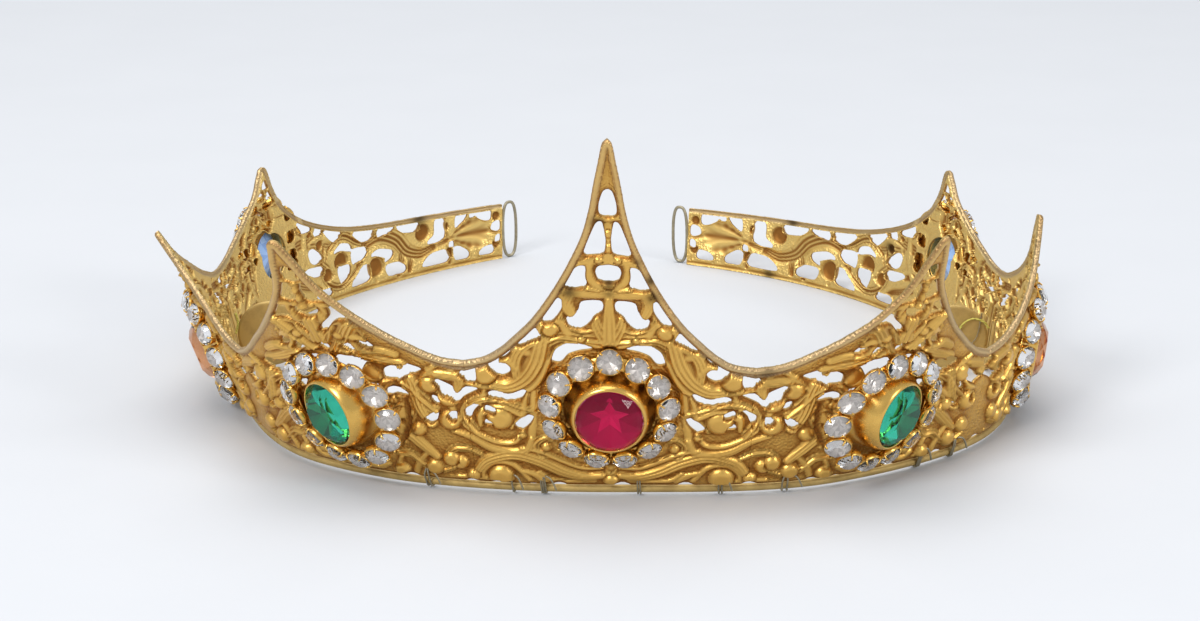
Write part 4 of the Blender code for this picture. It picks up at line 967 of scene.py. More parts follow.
    def cut(self, outline: Sequence[Pair], ease: float) -> None:
        """Cuts one gap with rounded corners.

        Args:
            outline: Its corners.
            ease: How much wider it is cut.
        """
        loop = np.array(outline)
        for share in (0.18, 0.25):
            after = np.roll(loop, -1, axis=0)
            loop = np.stack([loop + share * (after - loop), after + share * (loop - after)],
                            axis=1).reshape(-1, 2)
        win = self.window(loop.min(axis=0) - 2.5, loop.max(axis=0) + 2.5)
        x, y = self.run[win], self.up[win]
        if x.size == 0:
            return
        gap = np.full(x.shape, 99.0)
        inner = np.zeros(x.shape, dtype=bool)
        for a, b in zip(loop, np.roll(loop, -1, axis=0)):
            edge = b - a
            share = np.clip(((x - a[0]) * edge[0] + (y - a[1]) * edge[1]) / (edge @ edge + 1e-12), 0.0, 1.0)
            gap = np.minimum(gap, np.hypot(x - a[0] - share * edge[0], y - a[1] - share * edge[1]))
            if abs(edge[1]) > 1e-9:
                inner ^= ((a[1] > y) != (b[1] > y)) & (x < a[0] + (y - a[1]) * edge[0] / edge[1])
        self.gap[win] = np.maximum(self.gap[win], np.where(inner, gap, -gap) + ease)

    def stamp(
        self,
        motif: Motif,
        point: Point,
        hand: int,
        low: float | None,
        tip: float,
        scale: float,
        gaps: Iterable[Outline] = (),
    ) -> None:
        """Stamps a motif on one hand of a point.

        Args:
            motif: What is stamped.
            point: The point.
            hand: 1 for the side away from the front's right, -1 for the other.
            low: Valley height of the model point, or None where heights aren't changed.
            tip: Tip height of the model point.
            scale: Size of the strokes' widths.
            gaps: Gaps that are cut with it.
        """

        def height(across: float, up: float) -> float:
            if low is None:
                return up
            run = point.along + hand * across
            base = low if low > 0 else float(self.shape.saddle(48.0 - abs(across)))
            return self.shape.settle(run, up, point.tip, base, tip)

        for row in motif.strokes:
            path = [(point.along + hand * x, height(x, y)) for x, y in row.path]
            self.stroke(path, [w * scale for w in row.wide], row.rise * scale, row.form)
        for row in motif.beads:
            self.bead(point.along + hand * row.across, height(row.across, row.up), row.radius * scale)
        for outline in gaps:
            self.cut([(point.along + hand * x, height(x, y)) for x, y in outline], self.ease)

    def draw(self) -> None:
        """Draws every motif of the band."""
        valley, tip = self.shape.model_valley, self.shape.model_tip
        for point in POINTS:
            centre = point.along == 0.0
            crest_scale = 1.0 if centre else (0.82 if point.tip > 45.0 else 0.6)
            for hand in (1, -1):
                self.stamp(CREST, point, hand, valley, tip, crest_scale, TIP_GAPS)
                if abs(point.along) > 140.0 and hand == np.sign(point.along):
                    continue
                if centre:
                    self.stamp(CENTRE, point, hand, valley, tip, 1.15, CENTRE_GAPS)
                    self.stamp(LOW_CENTRE, point, hand, None, tip, 1.0)
                else:
                    self.stamp(SIDE, point, hand, 0.0, 56.0, 1.15, SIDE_GAPS)
                    self.stamp(LOW_SIDE, point, hand, None, tip, 1.0)
        for sign in (1.0, -1.0):
            valley_point = Point("valley", 123.0 * sign, tip, 0.0, Slot.GILT)
            for hand in (1, -1):
                self.stamp(VALLEY_LEAF, valley_point, hand, None, tip, 1.0, VALLEY_GAPS)
            scale = self.shape.strap_scale(sign)
            start = self.shape.strap_start
            for row in STRAP.strokes:
                self.stroke([(sign * (start + x * scale), y) for x, y in row.path], row.wide, row.rise,
                            row.form)
            for row in STRAP.beads:
                self.bead(sign * (start + row.across * scale), row.up, row.radius)
            self.shell(STRAP_SHELL, sign, start, scale)
            for outline in STRAP_GAPS:
                self.cut([(sign * (start + x * scale), y) for x, y in outline], self.strap_ease)

    def close(self) -> None:
        """Adds the plain grounds, the seats, the rails and the holes."""
        run = np.abs(self.run)
        rail = np.interp(
            run,
            [0, 20, 24.5, 30, 60, 72.5, 85, 123, 150, 230],
            [1.15, 1.4, 2.0, 1.4, 1.15, 1.5, 1.15, 1.2, 1.1, 1.1],
        )
        foot = np.where(run > 140.0, 1.5, 1.1)
        over_foot = self.up - self.foot
        frame = np.maximum(rail - np.abs(self.rim), foot - over_foot)
        self.metal = np.minimum(self.inside, np.maximum(-self.gap, frame))
        self.metal = np.minimum(self.metal, self.seat - self.seat_hole)
        pillow = 0.34 * (1.0 - np.exp(-np.maximum(self.metal, 0.0) / 0.5))
        raised_rail = 0.55 * np.sqrt(np.clip(1.0 - ((self.rim - 0.5) / 0.58) ** 2, 0.0, 1.0))
        raised_rail = np.maximum(raised_rail, 0.2 * (self.rim < rail))
        raised_foot = 0.5 * np.sqrt(np.clip(1.0 - ((over_foot - 0.5) / 0.6) ** 2, 0.0, 1.0)) * (run > 118.0)
        fade = np.clip((self.rim - rail + 0.7) / 0.7, 0.0, 1.0)
        low_fade = np.clip((over_foot - 0.2) / 0.8, 0.0, 1.0)
        raised = np.maximum(self.height * fade * low_fade, pillow)
        raised = np.maximum(raised * (self.rim > rail), np.maximum(raised_rail, raised_foot))
        under_halo = np.where(self.halo < 12.3, 0.2 + 0.6 * np.clip(11.5 - self.halo, 0.0, 2.0), 9.0)
        raised = np.where(raised > 0.3, 0.3 + 1.22 * (raised - 0.3), raised)
        round_off = np.clip(np.maximum(self.metal, 0.0) / 0.34, 0.0, 1.0)
        self.height = np.minimum(np.minimum(raised, 1.4), under_halo) * np.sqrt(round_off * (2.0 - round_off))
        self.rail = rail

    def tones(self) -> dict[str, Array]:
        """Fields that the finish reads: recesses with painted shade mixed with patina, front and back, worn
        rim and stains.
        """
        solid = (self.metal > 0).astype(float)
        near, far = max(1, round(0.55 / self.step)), max(1, round(1.5 / self.step))
        # Recesses get painted shade mixed with patina: darker where the sheet lies below its surroundings,
        # and on the low ground.
        sunk = np.zeros_like(self.height)
        lifted = np.zeros_like(self.height)
        for reach, gain in ((near, 2.6), (far, 1.2)):
            around = blurred(self.height * solid, reach) / (blurred(solid, reach) + 1e-6)
            sunk += gain * (around - self.height)
            lifted += gain * (self.height - around)
        recess = np.clip(sunk + 0.25 * (self.height < 0.4), 0.0, 1.0)
        # On the back, the hollows behind raised strokes get painted shade mixed with patina.
        hollow = np.clip(1.3 * lifted + 0.5 * (self.height - 0.45), 0.0, 1.0)
        ground = np.clip((0.5 - self.height) / 0.15, 0.0, 1.0)
        high = np.clip((self.up - 34.0) / 20.0, 0.0, 0.4)
        wear = np.clip((self.rail + 0.1 - self.rim) / 0.4, 0.0, 1.0) * (0.85 - high)
        stain = np.zeros_like(self.height)
        for row in STAINS:
            gap = np.hypot(self.run - row.along, self.up - row.up) / row.radius
            stain = np.maximum(stain, row.depth * np.exp(-gap * gap))
        return {"recess": recess, "wear": wear, "stain": stain, "hollow": hollow, "ground": ground}


def make_mesh(name: str, points: Array, faces: Array,
              tones: dict[str, Array] | None = None) -> bpy.types.Mesh:
    """A mesh of triangles with point attributes.

    Args:
        name: Name of the mesh.
        points: Places in metres.
        faces: Rows of three indices.
        tones: Values for each point, by name.

    Returns:
        The mesh, shaded smooth.
    """
    mesh = bpy.data.meshes.new(name)
    mesh.vertices.add(len(points))
    mesh.vertices.foreach_set("co", np.ascontiguousarray(points, np.float32).ravel())
    mesh.loops.add(faces.size)
    mesh.loops.foreach_set("vertex_index", np.ascontiguousarray(faces, np.int32).ravel())
    mesh.polygons.add(len(faces))
    mesh.polygons.foreach_set("loop_start", np.arange(0, faces.size, 3, dtype=np.int32))
    mesh.update(calc_edges=True)
    mesh.shade_smooth()
    for key, values in (tones or {}).items():
        attribute = mesh.attributes.new(key, "FLOAT", "POINT")
        attribute.data.foreach_set("value", np.ascontiguousarray(values, np.float32))
    return mesh


def add_piece(
    name: str, mesh: bpy.types.Mesh, finish: bpy.types.Material, nodes: Iterable[str]
) -> bpy.types.Object:
    """Puts a finished piece in the scene.

    Args:
        name: Its name.
        mesh: Its mesh, in metres, in place.
        finish: Its material.
        nodes: The solids that it stands for.

    Returns:
        The object.
    """
    piece = bpy.data.objects.new(name, mesh)
    bpy.context.scene.collection.objects.link(piece)
    if not mesh.materials:
        mesh.materials.append(finish)
    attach(piece, "root")
    nodes = tuple(nodes)
    if nodes:
        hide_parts(*nodes)
    LOG.info("%s: %d points, %d faces", name, len(mesh.vertices), len(mesh.polygons))
    return piece


@dataclass
class Band:
    """The stamped sheet of the crown."""

    shape: BandShape
    step: float = 0.225
    inner: float = 0.15
    follow: float = 0.85
    cuts: tuple[float, ...] = (-300.0, -123.0, -72.4, -24.4, 24.4, 72.4, 123.0, 300.0)
    names: tuple[str, ...] = (
        "strap_left",
        "side_left",
        "shoulder_left",
        "front",
        "shoulder_right",
        "side_right",
        "strap_right",
    )

    def build(self, finish: bpy.types.Material) -> list[bpy.types.Object]:
        """Builds the sheet's pieces.

        Args:
            finish: Its material.

        Returns:
            The pieces, from the left strap to the right one.
        """
        relief = Relief(self.shape, self.step)
        relief.draw()
        relief.close()
        tones = relief.tones()
        made = []
        stops = [round(cut / self.step) * self.step for cut in self.cuts]
        for k, name in enumerate(self.names):
            columns = (relief.across >= stops[k] - 1e-6) & (relief.across <= stops[k + 1] + 1e-6)
            mesh = self.cut_sheet(f"band_{name}", relief, tones, np.flatnonzero(columns))
            made.append(add_piece(f"band_{name}", mesh, finish, ["band"]))
        return made

    def cut_sheet(self, name: str, relief: Relief, tones: dict[str, Array], columns: Array) -> bpy.types.Mesh:
        """Cuts one stretch of the drawing out as a closed sheet of metal.

        Args:
            name: Name of the mesh.
            relief: The drawing.
            tones: The finish's fields.
            columns: The lattice columns of the stretch.

        Returns:
            The mesh.
        """
        part = (slice(None), slice(columns[0], columns[-1] + 1))
        metal = relief.metal[part].copy()
        metal[np.abs(metal) < 0.012] = -0.012
        rows, wide = metal.shape
        index = np.arange(rows * wide).reshape(rows, wide)
        a, b = index[:-1, :-1].ravel(), index[:-1, 1:].ravel()
        c, d = index[1:, 1:].ravel(), index[1:, :-1].ravel()
        flat_metal = metal.ravel()
        live = (flat_metal[a] > 0) | (flat_metal[b] > 0) | (flat_metal[c] > 0) | (flat_metal[d] > 0)
        a, b, c, d = a[live], b[live], c[live], d[live]
        cells = np.concatenate([np.stack([a, b, c], axis=1), np.stack([a, c, d], axis=1)])
        faces, edges = clip_cells(cells, flat_metal)
        count = rows * wide
        fields = [relief.run[part], relief.up[part], relief.height[part]] + [tones[k][part] for k in tones]
        values = np.stack([f.ravel() for f in fields], axis=1)
        share = flat_metal[edges[:, 0]] / (flat_metal[edges[:, 0]] - flat_metal[edges[:, 1]])
        crossing = values[edges[:, 0]] * (1 - share)[:, None] + values[edges[:, 1]] * share[:, None]
        values = np.concatenate([values, crossing])
        used, faces = np.unique(faces, return_inverse=True)
        faces = faces.reshape(-1, 3)
        values = values[used]
        run, up, raised = values[:, 0], values[:, 1], values[:, 2]
        front = self.shape.place(run, up, self.shape.wall + raised)
        back = self.shape.place(run, up, self.inner + self.follow * raised)
        size = len(used)
        sides = np.concatenate([faces[:, [0, 1]], faces[:, [1, 2]], faces[:, [2, 0]]])
        key = sides.min(axis=1).astype(np.int64) * size + sides.max(axis=1)
        _, first, times = np.unique(key, return_index=True, return_counts=True)
        border = sides[first[times == 1]]
        walls = np.concatenate(
            [
                np.stack([border[:, 1], border[:, 0], border[:, 0] + size], axis=1),
                np.stack([border[:, 1], border[:, 0] + size, border[:, 1] + size], axis=1),
            ]
        )
        all_faces = np.concatenate([faces, faces[:, ::-1] + size, walls])
        shades = {key: np.tile(values[:, 3 + k], 2) for k, key in enumerate(tones)}
        # The back's recesses take the hollows' painted shade mixed with patina.
        shades["recess"][size:] = shades.pop("hollow")[size:]
        shades["reverse"] = np.concatenate([np.zeros(size), np.ones(size)])
        return make_mesh(name, np.concatenate([front, back]), all_faces, shades)


def clip_cells(cells: Array, metal: Array) -> tuple[Array, Array]:
    """Keeps the part of each triangle where the metal is above zero.

    Args:
        cells: Rows of three lattice indices.
        metal: The value at each lattice place.

    Returns:
        Triangles, and the pairs of lattice places whose crossings they use, numbered after the lattice.
    """
    count = len(metal)
    full = (metal[cells] > 0).sum(axis=1)
    faces = [cells[full == 3]]
    pairs = []

    def turn_first(rows: Array, wanted: Array) -> Array:
        """Turns each row round so that the wanted corner comes first."""
        order = (wanted.argmax(axis=1)[:, None] + np.arange(3)) % 3
        return np.take_along_axis(rows, order, axis=1)

    one = cells[full == 1]
    one = turn_first(one, metal[one] > 0)
    two = cells[full == 2]
    two = turn_first(two, metal[two] <= 0)
    cut = [one[:, [0, 1]], one[:, [0, 2]], two[:, [1, 0]], two[:, [2, 0]]]
    stacked = np.concatenate(cut)
    low, high = stacked.min(axis=1), stacked.max(axis=1)
    key = low.astype(np.int64) * count + high
    unique, first, inverse = np.unique(key, return_index=True, return_inverse=True)
    edges = np.stack([low[first], high[first]], axis=1)
    inverse = inverse.reshape(-1) + count
    n, m = len(one), len(two)
    e01, e02 = inverse[:n], inverse[n : 2 * n]
    e10, e20 = inverse[2 * n : 2 * n + m], inverse[2 * n + m :]
    faces.append(np.stack([one[:, 0], e01, e02], axis=1))
    faces.append(np.stack([e10, two[:, 1], two[:, 2]], axis=1))
    faces.append(np.stack([e10, two[:, 2], e20], axis=1))
    return np.concatenate(faces), edges


@dataclass(frozen=True)
class Sweep:
    """Turns paths into round wires with one Geometry Nodes tree."""

    name: str = "wire_sweep"

    def tree(self) -> bpy.types.GeometryNodeTree:
        """The tree: edges to a curve, swept with a circle, with inputs Radius, Sides and Finish."""
        made = bpy.data.node_groups.get(self.name)
        if made:
            return made
        plan = Plan.geometry(self.name, (("Radius", "NodeSocketFloat", 0.0003),
                                         ("Sides", "NodeSocketInt", 12)))
        curve = plan.add("GeometryNodeMeshToCurve")
        plan.join(plan.source, "Geometry", curve, "Mesh")
        ring = plan.add("GeometryNodeCurvePrimitiveCircle")
        plan.join(plan.source, "Radius", ring, "Radius")
        plan.join(plan.source, "Sides", ring, "Resolution")
        sweep = plan.add("GeometryNodeCurveToMesh")
        sweep.inputs["Fill Caps"].default_value = True
        plan.join(curve, "Curve", sweep, "Curve")
        plan.join(ring, "Curve", sweep, "Profile Curve")
        plan.close(sweep, "Mesh")
        return plan.tree

    def make(
        self, name: str, paths: Sequence[Array], radius: float, finish: bpy.types.Material, sides: int = 12
    ) -> bpy.types.Mesh:
        """Sweeps wires along paths.

        Args:
            name: Name of the mesh.
            paths: Points in metres. A path that ends where it starts is closed.
            radius: Radius of the wire in millimetres.
            finish: Its material.
            sides: Sides of its cross section.

        Returns:
            The wires as one plain mesh.
        """
        points, edges = [], []
        for path in paths:
            first = len(points)
            closed = np.linalg.norm(path[0] - path[-1]) < 1e-9
            rows = path[:-1] if closed else path
            points.extend(rows.tolist())
            edges.extend((first + k, first + k + 1) for k in range(len(rows) - 1))
            if closed:
                edges.append((first + len(rows) - 1, first))
        mesh = bpy.data.meshes.new(name)
        mesh.from_pydata(points, edges, [])
        inputs = {"Radius": radius * METRES, "Sides": sides, "Finish": finish}
        made = evaluate_tree(name, mesh, self.tree(), inputs)
        made.shade_smooth()
        return made


@dataclass
class Plan:
    """A node tree while it is being written."""

    tree: bpy.types.NodeTree
    source: bpy.types.Node | None = None
    finish: str = "Finish"

    @classmethod
    def geometry(cls, name: str, inputs: Iterable[tuple[str, str, object]]) -> "Plan":
        """A new Geometry Nodes tree.

        Args:
            name: Name of the tree.
            inputs: Name, socket type and value of each input after Geometry.

        Returns:
            Its plan, with the input Finish added.
        """
        tree = bpy.data.node_groups.new(name, "GeometryNodeTree")
        tree.interface.new_socket("Geometry", in_out="INPUT", socket_type="NodeSocketGeometry")
        for label, kind, value in inputs:
            socket = tree.interface.new_socket(label, in_out="INPUT", socket_type=kind)
            if value is not None:
                socket.default_value = value
        tree.interface.new_socket("Finish", in_out="INPUT", socket_type="NodeSocketMaterial")
        tree.interface.new_socket("Geometry", in_out="OUTPUT", socket_type="NodeSocketGeometry")
        plan = cls(tree)
        plan.source = plan.add("NodeGroupInput")
        return plan

    @classmethod
    def shading(cls, name: str, inputs: Iterable[tuple[str, str, object]],
                outputs: Iterable[tuple[str, str]]) -> "Plan":
        """A new group of shading nodes with named inputs and outputs."""
        tree = bpy.data.node_groups.new(name, "ShaderNodeTree")
        for label, kind, value in inputs:
            socket = tree.interface.new_socket(label, in_out="INPUT", socket_type=kind)
            socket.default_value = value
        for label, kind in outputs:
            tree.interface.new_socket(label, in_out="OUTPUT", socket_type=kind)
        plan = cls(tree)
        plan.source = plan.add("NodeGroupInput")
        return plan

    def add(self, kind: str, **settings: object) -> bpy.types.Node:
        """Adds a node and sets its options, or its inputs where a key is one of their names."""
        node = self.tree.nodes.new(kind)
        for key, value in settings.items():
            if hasattr(node, key):
                setattr(node, key, value)
            else:
                node.inputs[key.replace("_", " ")].default_value = value
        return node

    def join(self, start: bpy.types.Node, output: str | int, end: bpy.types.Node, place: str | int) -> None:
        """Links an output to an input."""
        self.tree.links.new(start.outputs[output], end.inputs[place])

    def math(self, operation: str, *values: object) -> bpy.types.NodeSocket:
        """A Math node over sockets and numbers.

        Args:
            operation: The Math node's operation.
            values: Sockets or numbers.

        Returns:
            Its output.
        """
        node = self.tree.nodes.new("ShaderNodeMath")
        node.operation = operation
        for k, value in enumerate(values):
            if isinstance(value, bpy.types.NodeSocket):
                self.tree.links.new(value, node.inputs[k])
            else:
                node.inputs[k].default_value = value
        return node.outputs[0]

    def blend(self, share: object, first: object, second: object) -> bpy.types.NodeSocket:
        """Mixes two colours.

        Args:
            share: Socket or number, 0 for the first colour.
            first: Socket or colour.
            second: Socket or colour.

        Returns:
            The mixed colour.
        """
        node = self.tree.nodes.new("ShaderNodeMix")
        node.data_type = "RGBA"
        for value, socket in ((share, node.inputs[0]), (first, node.inputs[6]), (second, node.inputs[7])):
            if isinstance(value, bpy.types.NodeSocket):
                self.tree.links.new(value, socket)
            else:
                socket.default_value = value
        return node.outputs[2]

    def close(self, node: bpy.types.Node, output: str) -> None:
        """Ends a Geometry Nodes tree with Realize Instances and Set Material."""
        real = self.add("GeometryNodeRealizeInstances")
        self.join(node, output, real, "Geometry")
        paint = self.add("GeometryNodeSetMaterial")
        self.join(real, "Geometry", paint, "Geometry")
        self.join(self.source, self.finish, paint, "Material")
        end = self.add("NodeGroupOutput")
        self.join(paint, "Geometry", end, "Geometry")


def evaluate_tree(
    name: str, mesh: bpy.types.Mesh, tree: bpy.types.GeometryNodeTree, inputs: dict[str, object]
) -> bpy.types.Mesh:
    """Runs a Geometry Nodes tree once and keeps its result as a plain mesh.

    Args:
        name: Name of the result.
        mesh: The mesh that goes in.
        tree: The tree.
        inputs: Values by input name.

    Returns:
        The mesh that comes out.
    """
    host = bpy.data.objects.new(name + "_host", mesh)
    bpy.context.scene.collection.objects.link(host)
    modifier = host.modifiers.new("plan", "NODES")
    modifier.node_group = tree
    for item in tree.interface.items_tree:
        if item.item_type == "SOCKET" and item.in_out == "INPUT" and item.name in inputs:
            modifier[item.identifier] = inputs[item.name]
    graph = bpy.context.evaluated_depsgraph_get()
    made = bpy.data.meshes.new_from_object(host.evaluated_get(graph), depsgraph=graph)
    made.name = name
    host.modifiers.remove(modifier)
    bpy.data.objects.remove(host)
    return made


@dataclass(frozen=True)
class Finishes:
    """Every finish of the crown, built once."""

    gilt: bpy.types.Material
    plain_gilt: bpy.types.Material
    dull_gilt: bpy.types.Material
    wire: bpy.types.Material
    thread: bpy.types.Material
    clear: bpy.types.Material
    clear_foil: bpy.types.Material
    glass: dict[Slot, bpy.types.Material]
    foil: dict[Slot, bpy.types.Material]


Colour = tuple[float, float, float]


def rgba(colour: Colour) -> tuple[float, float, float, float]:
    """A colour with full alpha."""
    return (*colour, 1.0)


def patina_group() -> bpy.types.ShaderNodeTree:
    """The group for patches of dull metal and fine grain, shared by every metal.

    Returns:
        A group with inputs Base, Dull, Scale and Amount, and outputs Color, Mask and Height.
    """
    made = bpy.data.node_groups.get("patina")
    if made:
        return made
    plan = Plan.shading(
        "patina",
        (
            ("Base", "NodeSocketColor", (0.5, 0.5, 0.5, 1.0)),
            ("Dull", "NodeSocketColor", (0.2, 0.2, 0.2, 1.0)),
            ("Scale", "NodeSocketFloat", 180.0),
            ("Amount", "NodeSocketFloat", 0.5),
        ),
        (("Color", "NodeSocketColor"), ("Mask", "NodeSocketFloat"), ("Height", "NodeSocketFloat")),
    )
    place = plan.add("ShaderNodeTexCoord")
    broad = plan.add("ShaderNodeTexNoise", Detail=6.0, Roughness=0.62)
    plan.join(place, "Object", broad, "Vector")
    plan.join(plan.source, "Scale", broad, "Scale")
    fine = plan.add("ShaderNodeTexNoise", Detail=4.0, Roughness=0.7)
    plan.join(place, "Object", fine, "Vector")
    plan.tree.links.new(plan.math("MULTIPLY", plan.source.outputs["Scale"], 14.0), fine.inputs["Scale"])
    patch = plan.add("ShaderNodeMapRange", clamp=True)
    patch.inputs["From Min"].default_value = 0.42
    patch.inputs["From Max"].default_value = 0.68
    plan.join(broad, 0, patch, "Value")
    mask = plan.math("MULTIPLY", patch.outputs[0], plan.source.outputs["Amount"])
    end = plan.add("NodeGroupOutput")
    colour = plan.blend(mask, plan.source.outputs["Base"], plan.source.outputs["Dull"])
    plan.tree.links.new(colour, end.inputs["Color"])
    plan.tree.links.new(mask, end.inputs["Mask"])
    height = plan.math("ADD", plan.math("MULTIPLY", broad.outputs[0], 0.5), fine.outputs[0])
    plan.tree.links.new(height, end.inputs["Height"])
    return plan.tree


def new_material(name: str) -> tuple[bpy.types.Material, Plan, bpy.types.Node]:
    """A material with an empty Principled shader.

    Args:
        name: Name of the material.

    Returns:
        The material, its plan and its shader.
    """
    material = bpy.data.materials.new(name)
    material.use_nodes = True
    plan = Plan(material.node_tree)
    shader = next(n for n in material.node_tree.nodes if n.type == "BSDF_PRINCIPLED")
    return material, plan, shader


@dataclass(frozen=True)
class MetalFinish:
    """A worn metal: its colours, with painted shade mixed with patina in its recesses, its gloss and the size
    of its patches.
    """

    name: str
    base: Colour
    dull: Colour
    recess: Colour
    worn: Colour
    stain: Colour
    reverse: Colour
    roughness: float = 0.32
    patches: float = 160.0
    amount: float = 0.45
    grain: float = 0.00004
    stipple: float = 1900.0
    metallic: float = 1.0

    def build(self) -> bpy.types.Material:
        """Builds the material from the patina group and the piece's own attributes."""
        material, plan, shader = new_material(self.name)
        patina = plan.add("ShaderNodeGroup")
        patina.node_tree = patina_group()
        patina.inputs["Base"].default_value = rgba(self.base)
        patina.inputs["Dull"].default_value = rgba(self.dull)
        patina.inputs["Scale"].default_value = self.patches
        patina.inputs["Amount"].default_value = self.amount
        masks = {}
        for key in ("recess", "wear", "stain", "reverse", "ground"):
            masks[key] = plan.add("ShaderNodeAttribute", attribute_name=key).outputs["Fac"]
        colour = plan.blend(plan.math("MULTIPLY", masks["reverse"], 0.8), patina.outputs["Color"],
                            rgba(self.reverse))
        # Recesses: painted shade mixed with patina.
        colour = plan.blend(plan.math("MULTIPLY", masks["recess"], 0.9), colour, rgba(self.recess))
        colour = plan.blend(plan.math("MULTIPLY", masks["wear"], 0.75), colour, rgba(self.worn))
        colour = plan.blend(masks["stain"], colour, rgba(self.stain))
        plan.tree.links.new(colour, shader.inputs["Base Color"])
        rough = plan.math("MULTIPLY_ADD", patina.outputs["Mask"], 0.25, self.roughness)
        rough = plan.math("MULTIPLY_ADD", masks["recess"], 0.18, rough)
        rough = plan.math("MULTIPLY_ADD", masks["reverse"], 0.10, rough)
        rough = plan.math("MULTIPLY_ADD", masks["stain"], 0.35, rough)
        plan.tree.links.new(rough, shader.inputs["Roughness"])
        shader.inputs["Metallic"].default_value = self.metallic
        bump = plan.add("ShaderNodeBump", Strength=0.5, Distance=self.grain)
        plan.join(patina, "Height", bump, "Height")
        place = plan.add("ShaderNodeTexCoord")
        dots = plan.add("ShaderNodeTexVoronoi", Scale=self.stipple)
        plan.join(place, "Object", dots, "Vector")
        punched = plan.add("ShaderNodeBump", Strength=0.9, Distance=0.00018)
        plan.tree.links.new(plan.math("MULTIPLY", dots.outputs["Distance"], masks["ground"]),
                            punched.inputs["Height"])
        plan.join(bump, "Normal", punched, "Normal")
        plan.join(punched, "Normal", shader, "Normal")
        return material


@dataclass(frozen=True)
class GlassFinish:
    """Cut glass of one colour."""

    name: str
    colour: Colour
    roughness: float = 0.02
    index: float = 1.28

    def build(self) -> bpy.types.Material:
        """Builds the material."""
        material, plan, shader = new_material(self.name)
        shader.inputs["Transmission Weight"].default_value = 1.0
        shader.inputs["IOR"].default_value = self.index
        place = plan.add("ShaderNodeTexCoord")
        noise = plan.add("ShaderNodeTexNoise", Scale=300.0, Detail=2.0)
        plan.join(place, "Object", noise, "Vector")
        colour = plan.blend(noise.outputs[0], rgba(self.colour), rgba(tuple(0.88 * c for c in self.colour)))
        plan.tree.links.new(colour, shader.inputs["Base Color"])
        rough = plan.math("MULTIPLY_ADD", noise.outputs[0], 0.02, self.roughness)
        plan.tree.links.new(rough, shader.inputs["Roughness"])
        return material


@dataclass(frozen=True)
class FoilFinish:
    """The bright foil behind a stone, with facets painted in a light and a dark tone: painted glints of the
    cut stone.
    """

    name: str
    light: Colour
    dark: Colour
    roughness: float = 0.22
    metallic: float = 0.85

    def build(self) -> bpy.types.Material:
        """Builds the material from the attribute of painted facet glints."""
        material, plan, shader = new_material(self.name)
        facet = plan.add("ShaderNodeAttribute", attribute_name="facet")
        colour = plan.blend(facet.outputs["Fac"], rgba(self.dark), rgba(self.light))
        plan.tree.links.new(colour, shader.inputs["Base Color"])
        place = plan.add("ShaderNodeTexCoord")
        noise = plan.add("ShaderNodeTexNoise", Scale=700.0, Detail=3.0)
        plan.join(place, "Object", noise, "Vector")
        rough = plan.math("MULTIPLY_ADD", noise.outputs[0], 0.12, self.roughness)
        plan.tree.links.new(rough, shader.inputs["Roughness"])
        shader.inputs["Metallic"].default_value = self.metallic
        return material


# The recess colour of each finish is painted shade mixed with patina.
GILT = MetalFinish(
    name="stamped_gilt",
    base=(0.76, 0.46, 0.115),
    dull=(0.58, 0.33, 0.075),
    recess=(0.28, 0.105, 0.018),
    worn=(0.52, 0.41, 0.25),
    stain=(0.05, 0.03, 0.015),
    reverse=(0.76, 0.56, 0.20),
)
PLAIN_GILT = MetalFinish(
    name="turned_gilt",
    base=(0.76, 0.47, 0.12),
    dull=(0.56, 0.33, 0.075),
    recess=(0.33, 0.13, 0.02),
    worn=(0.36, 0.27, 0.15),
    stain=(0.05, 0.03, 0.015),
    reverse=(0.56, 0.38, 0.13),
    roughness=0.24,
    patches=260.0,
    amount=0.35,
    grain=0.00002,
)
DULL_GILT = MetalFinish(
    name="dull_gilt",
    base=(0.50, 0.35, 0.12),
    dull=(0.36, 0.24, 0.08),
    recess=(0.3, 0.2, 0.06),
    worn=(0.4, 0.3, 0.15),
    stain=(0.1, 0.06, 0.03),
    reverse=(0.5, 0.35, 0.12),
    roughness=0.55,
    patches=320.0,
    amount=0.7,
    metallic=0.5,
)
GREY_WIRE = MetalFinish(
    name="grey_tie_wire",
    base=(0.37, 0.33, 0.23),
    dull=(0.19, 0.16, 0.11),
    recess=(0.08, 0.07, 0.05),
    worn=(0.3, 0.3, 0.26),
    stain=(0.05, 0.04, 0.03),
    reverse=(0.2, 0.2, 0.16),
    roughness=0.42,
    patches=700.0,
    amount=0.6,
    metallic=0.8,
)
OLIVE_THREAD = MetalFinish(
    name="olive_thread",
    base=(0.55, 0.50, 0.10),
    dull=(0.40, 0.38, 0.10),
    recess=(0.1, 0.1, 0.05),
    worn=(0.3, 0.3, 0.2),
    stain=(0.1, 0.1, 0.05),
    reverse=(0.2, 0.2, 0.1),
    roughness=0.85,
    patches=900.0,
    amount=0.5,
    metallic=0.0,
)
GLASS = {
    Slot.RUBY: GlassFinish("ruby_glass_cut", (0.93, 0.14, 0.42)),
    Slot.EMERALD: GlassFinish("emerald_glass_cut", (0.05, 0.62, 0.42)),
    Slot.AMBER: GlassFinish("amber_glass_cut", (0.76, 0.36, 0.17)),
    Slot.SAPPHIRE: GlassFinish("sapphire_glass_cut", (0.50, 0.70, 0.98)),
}
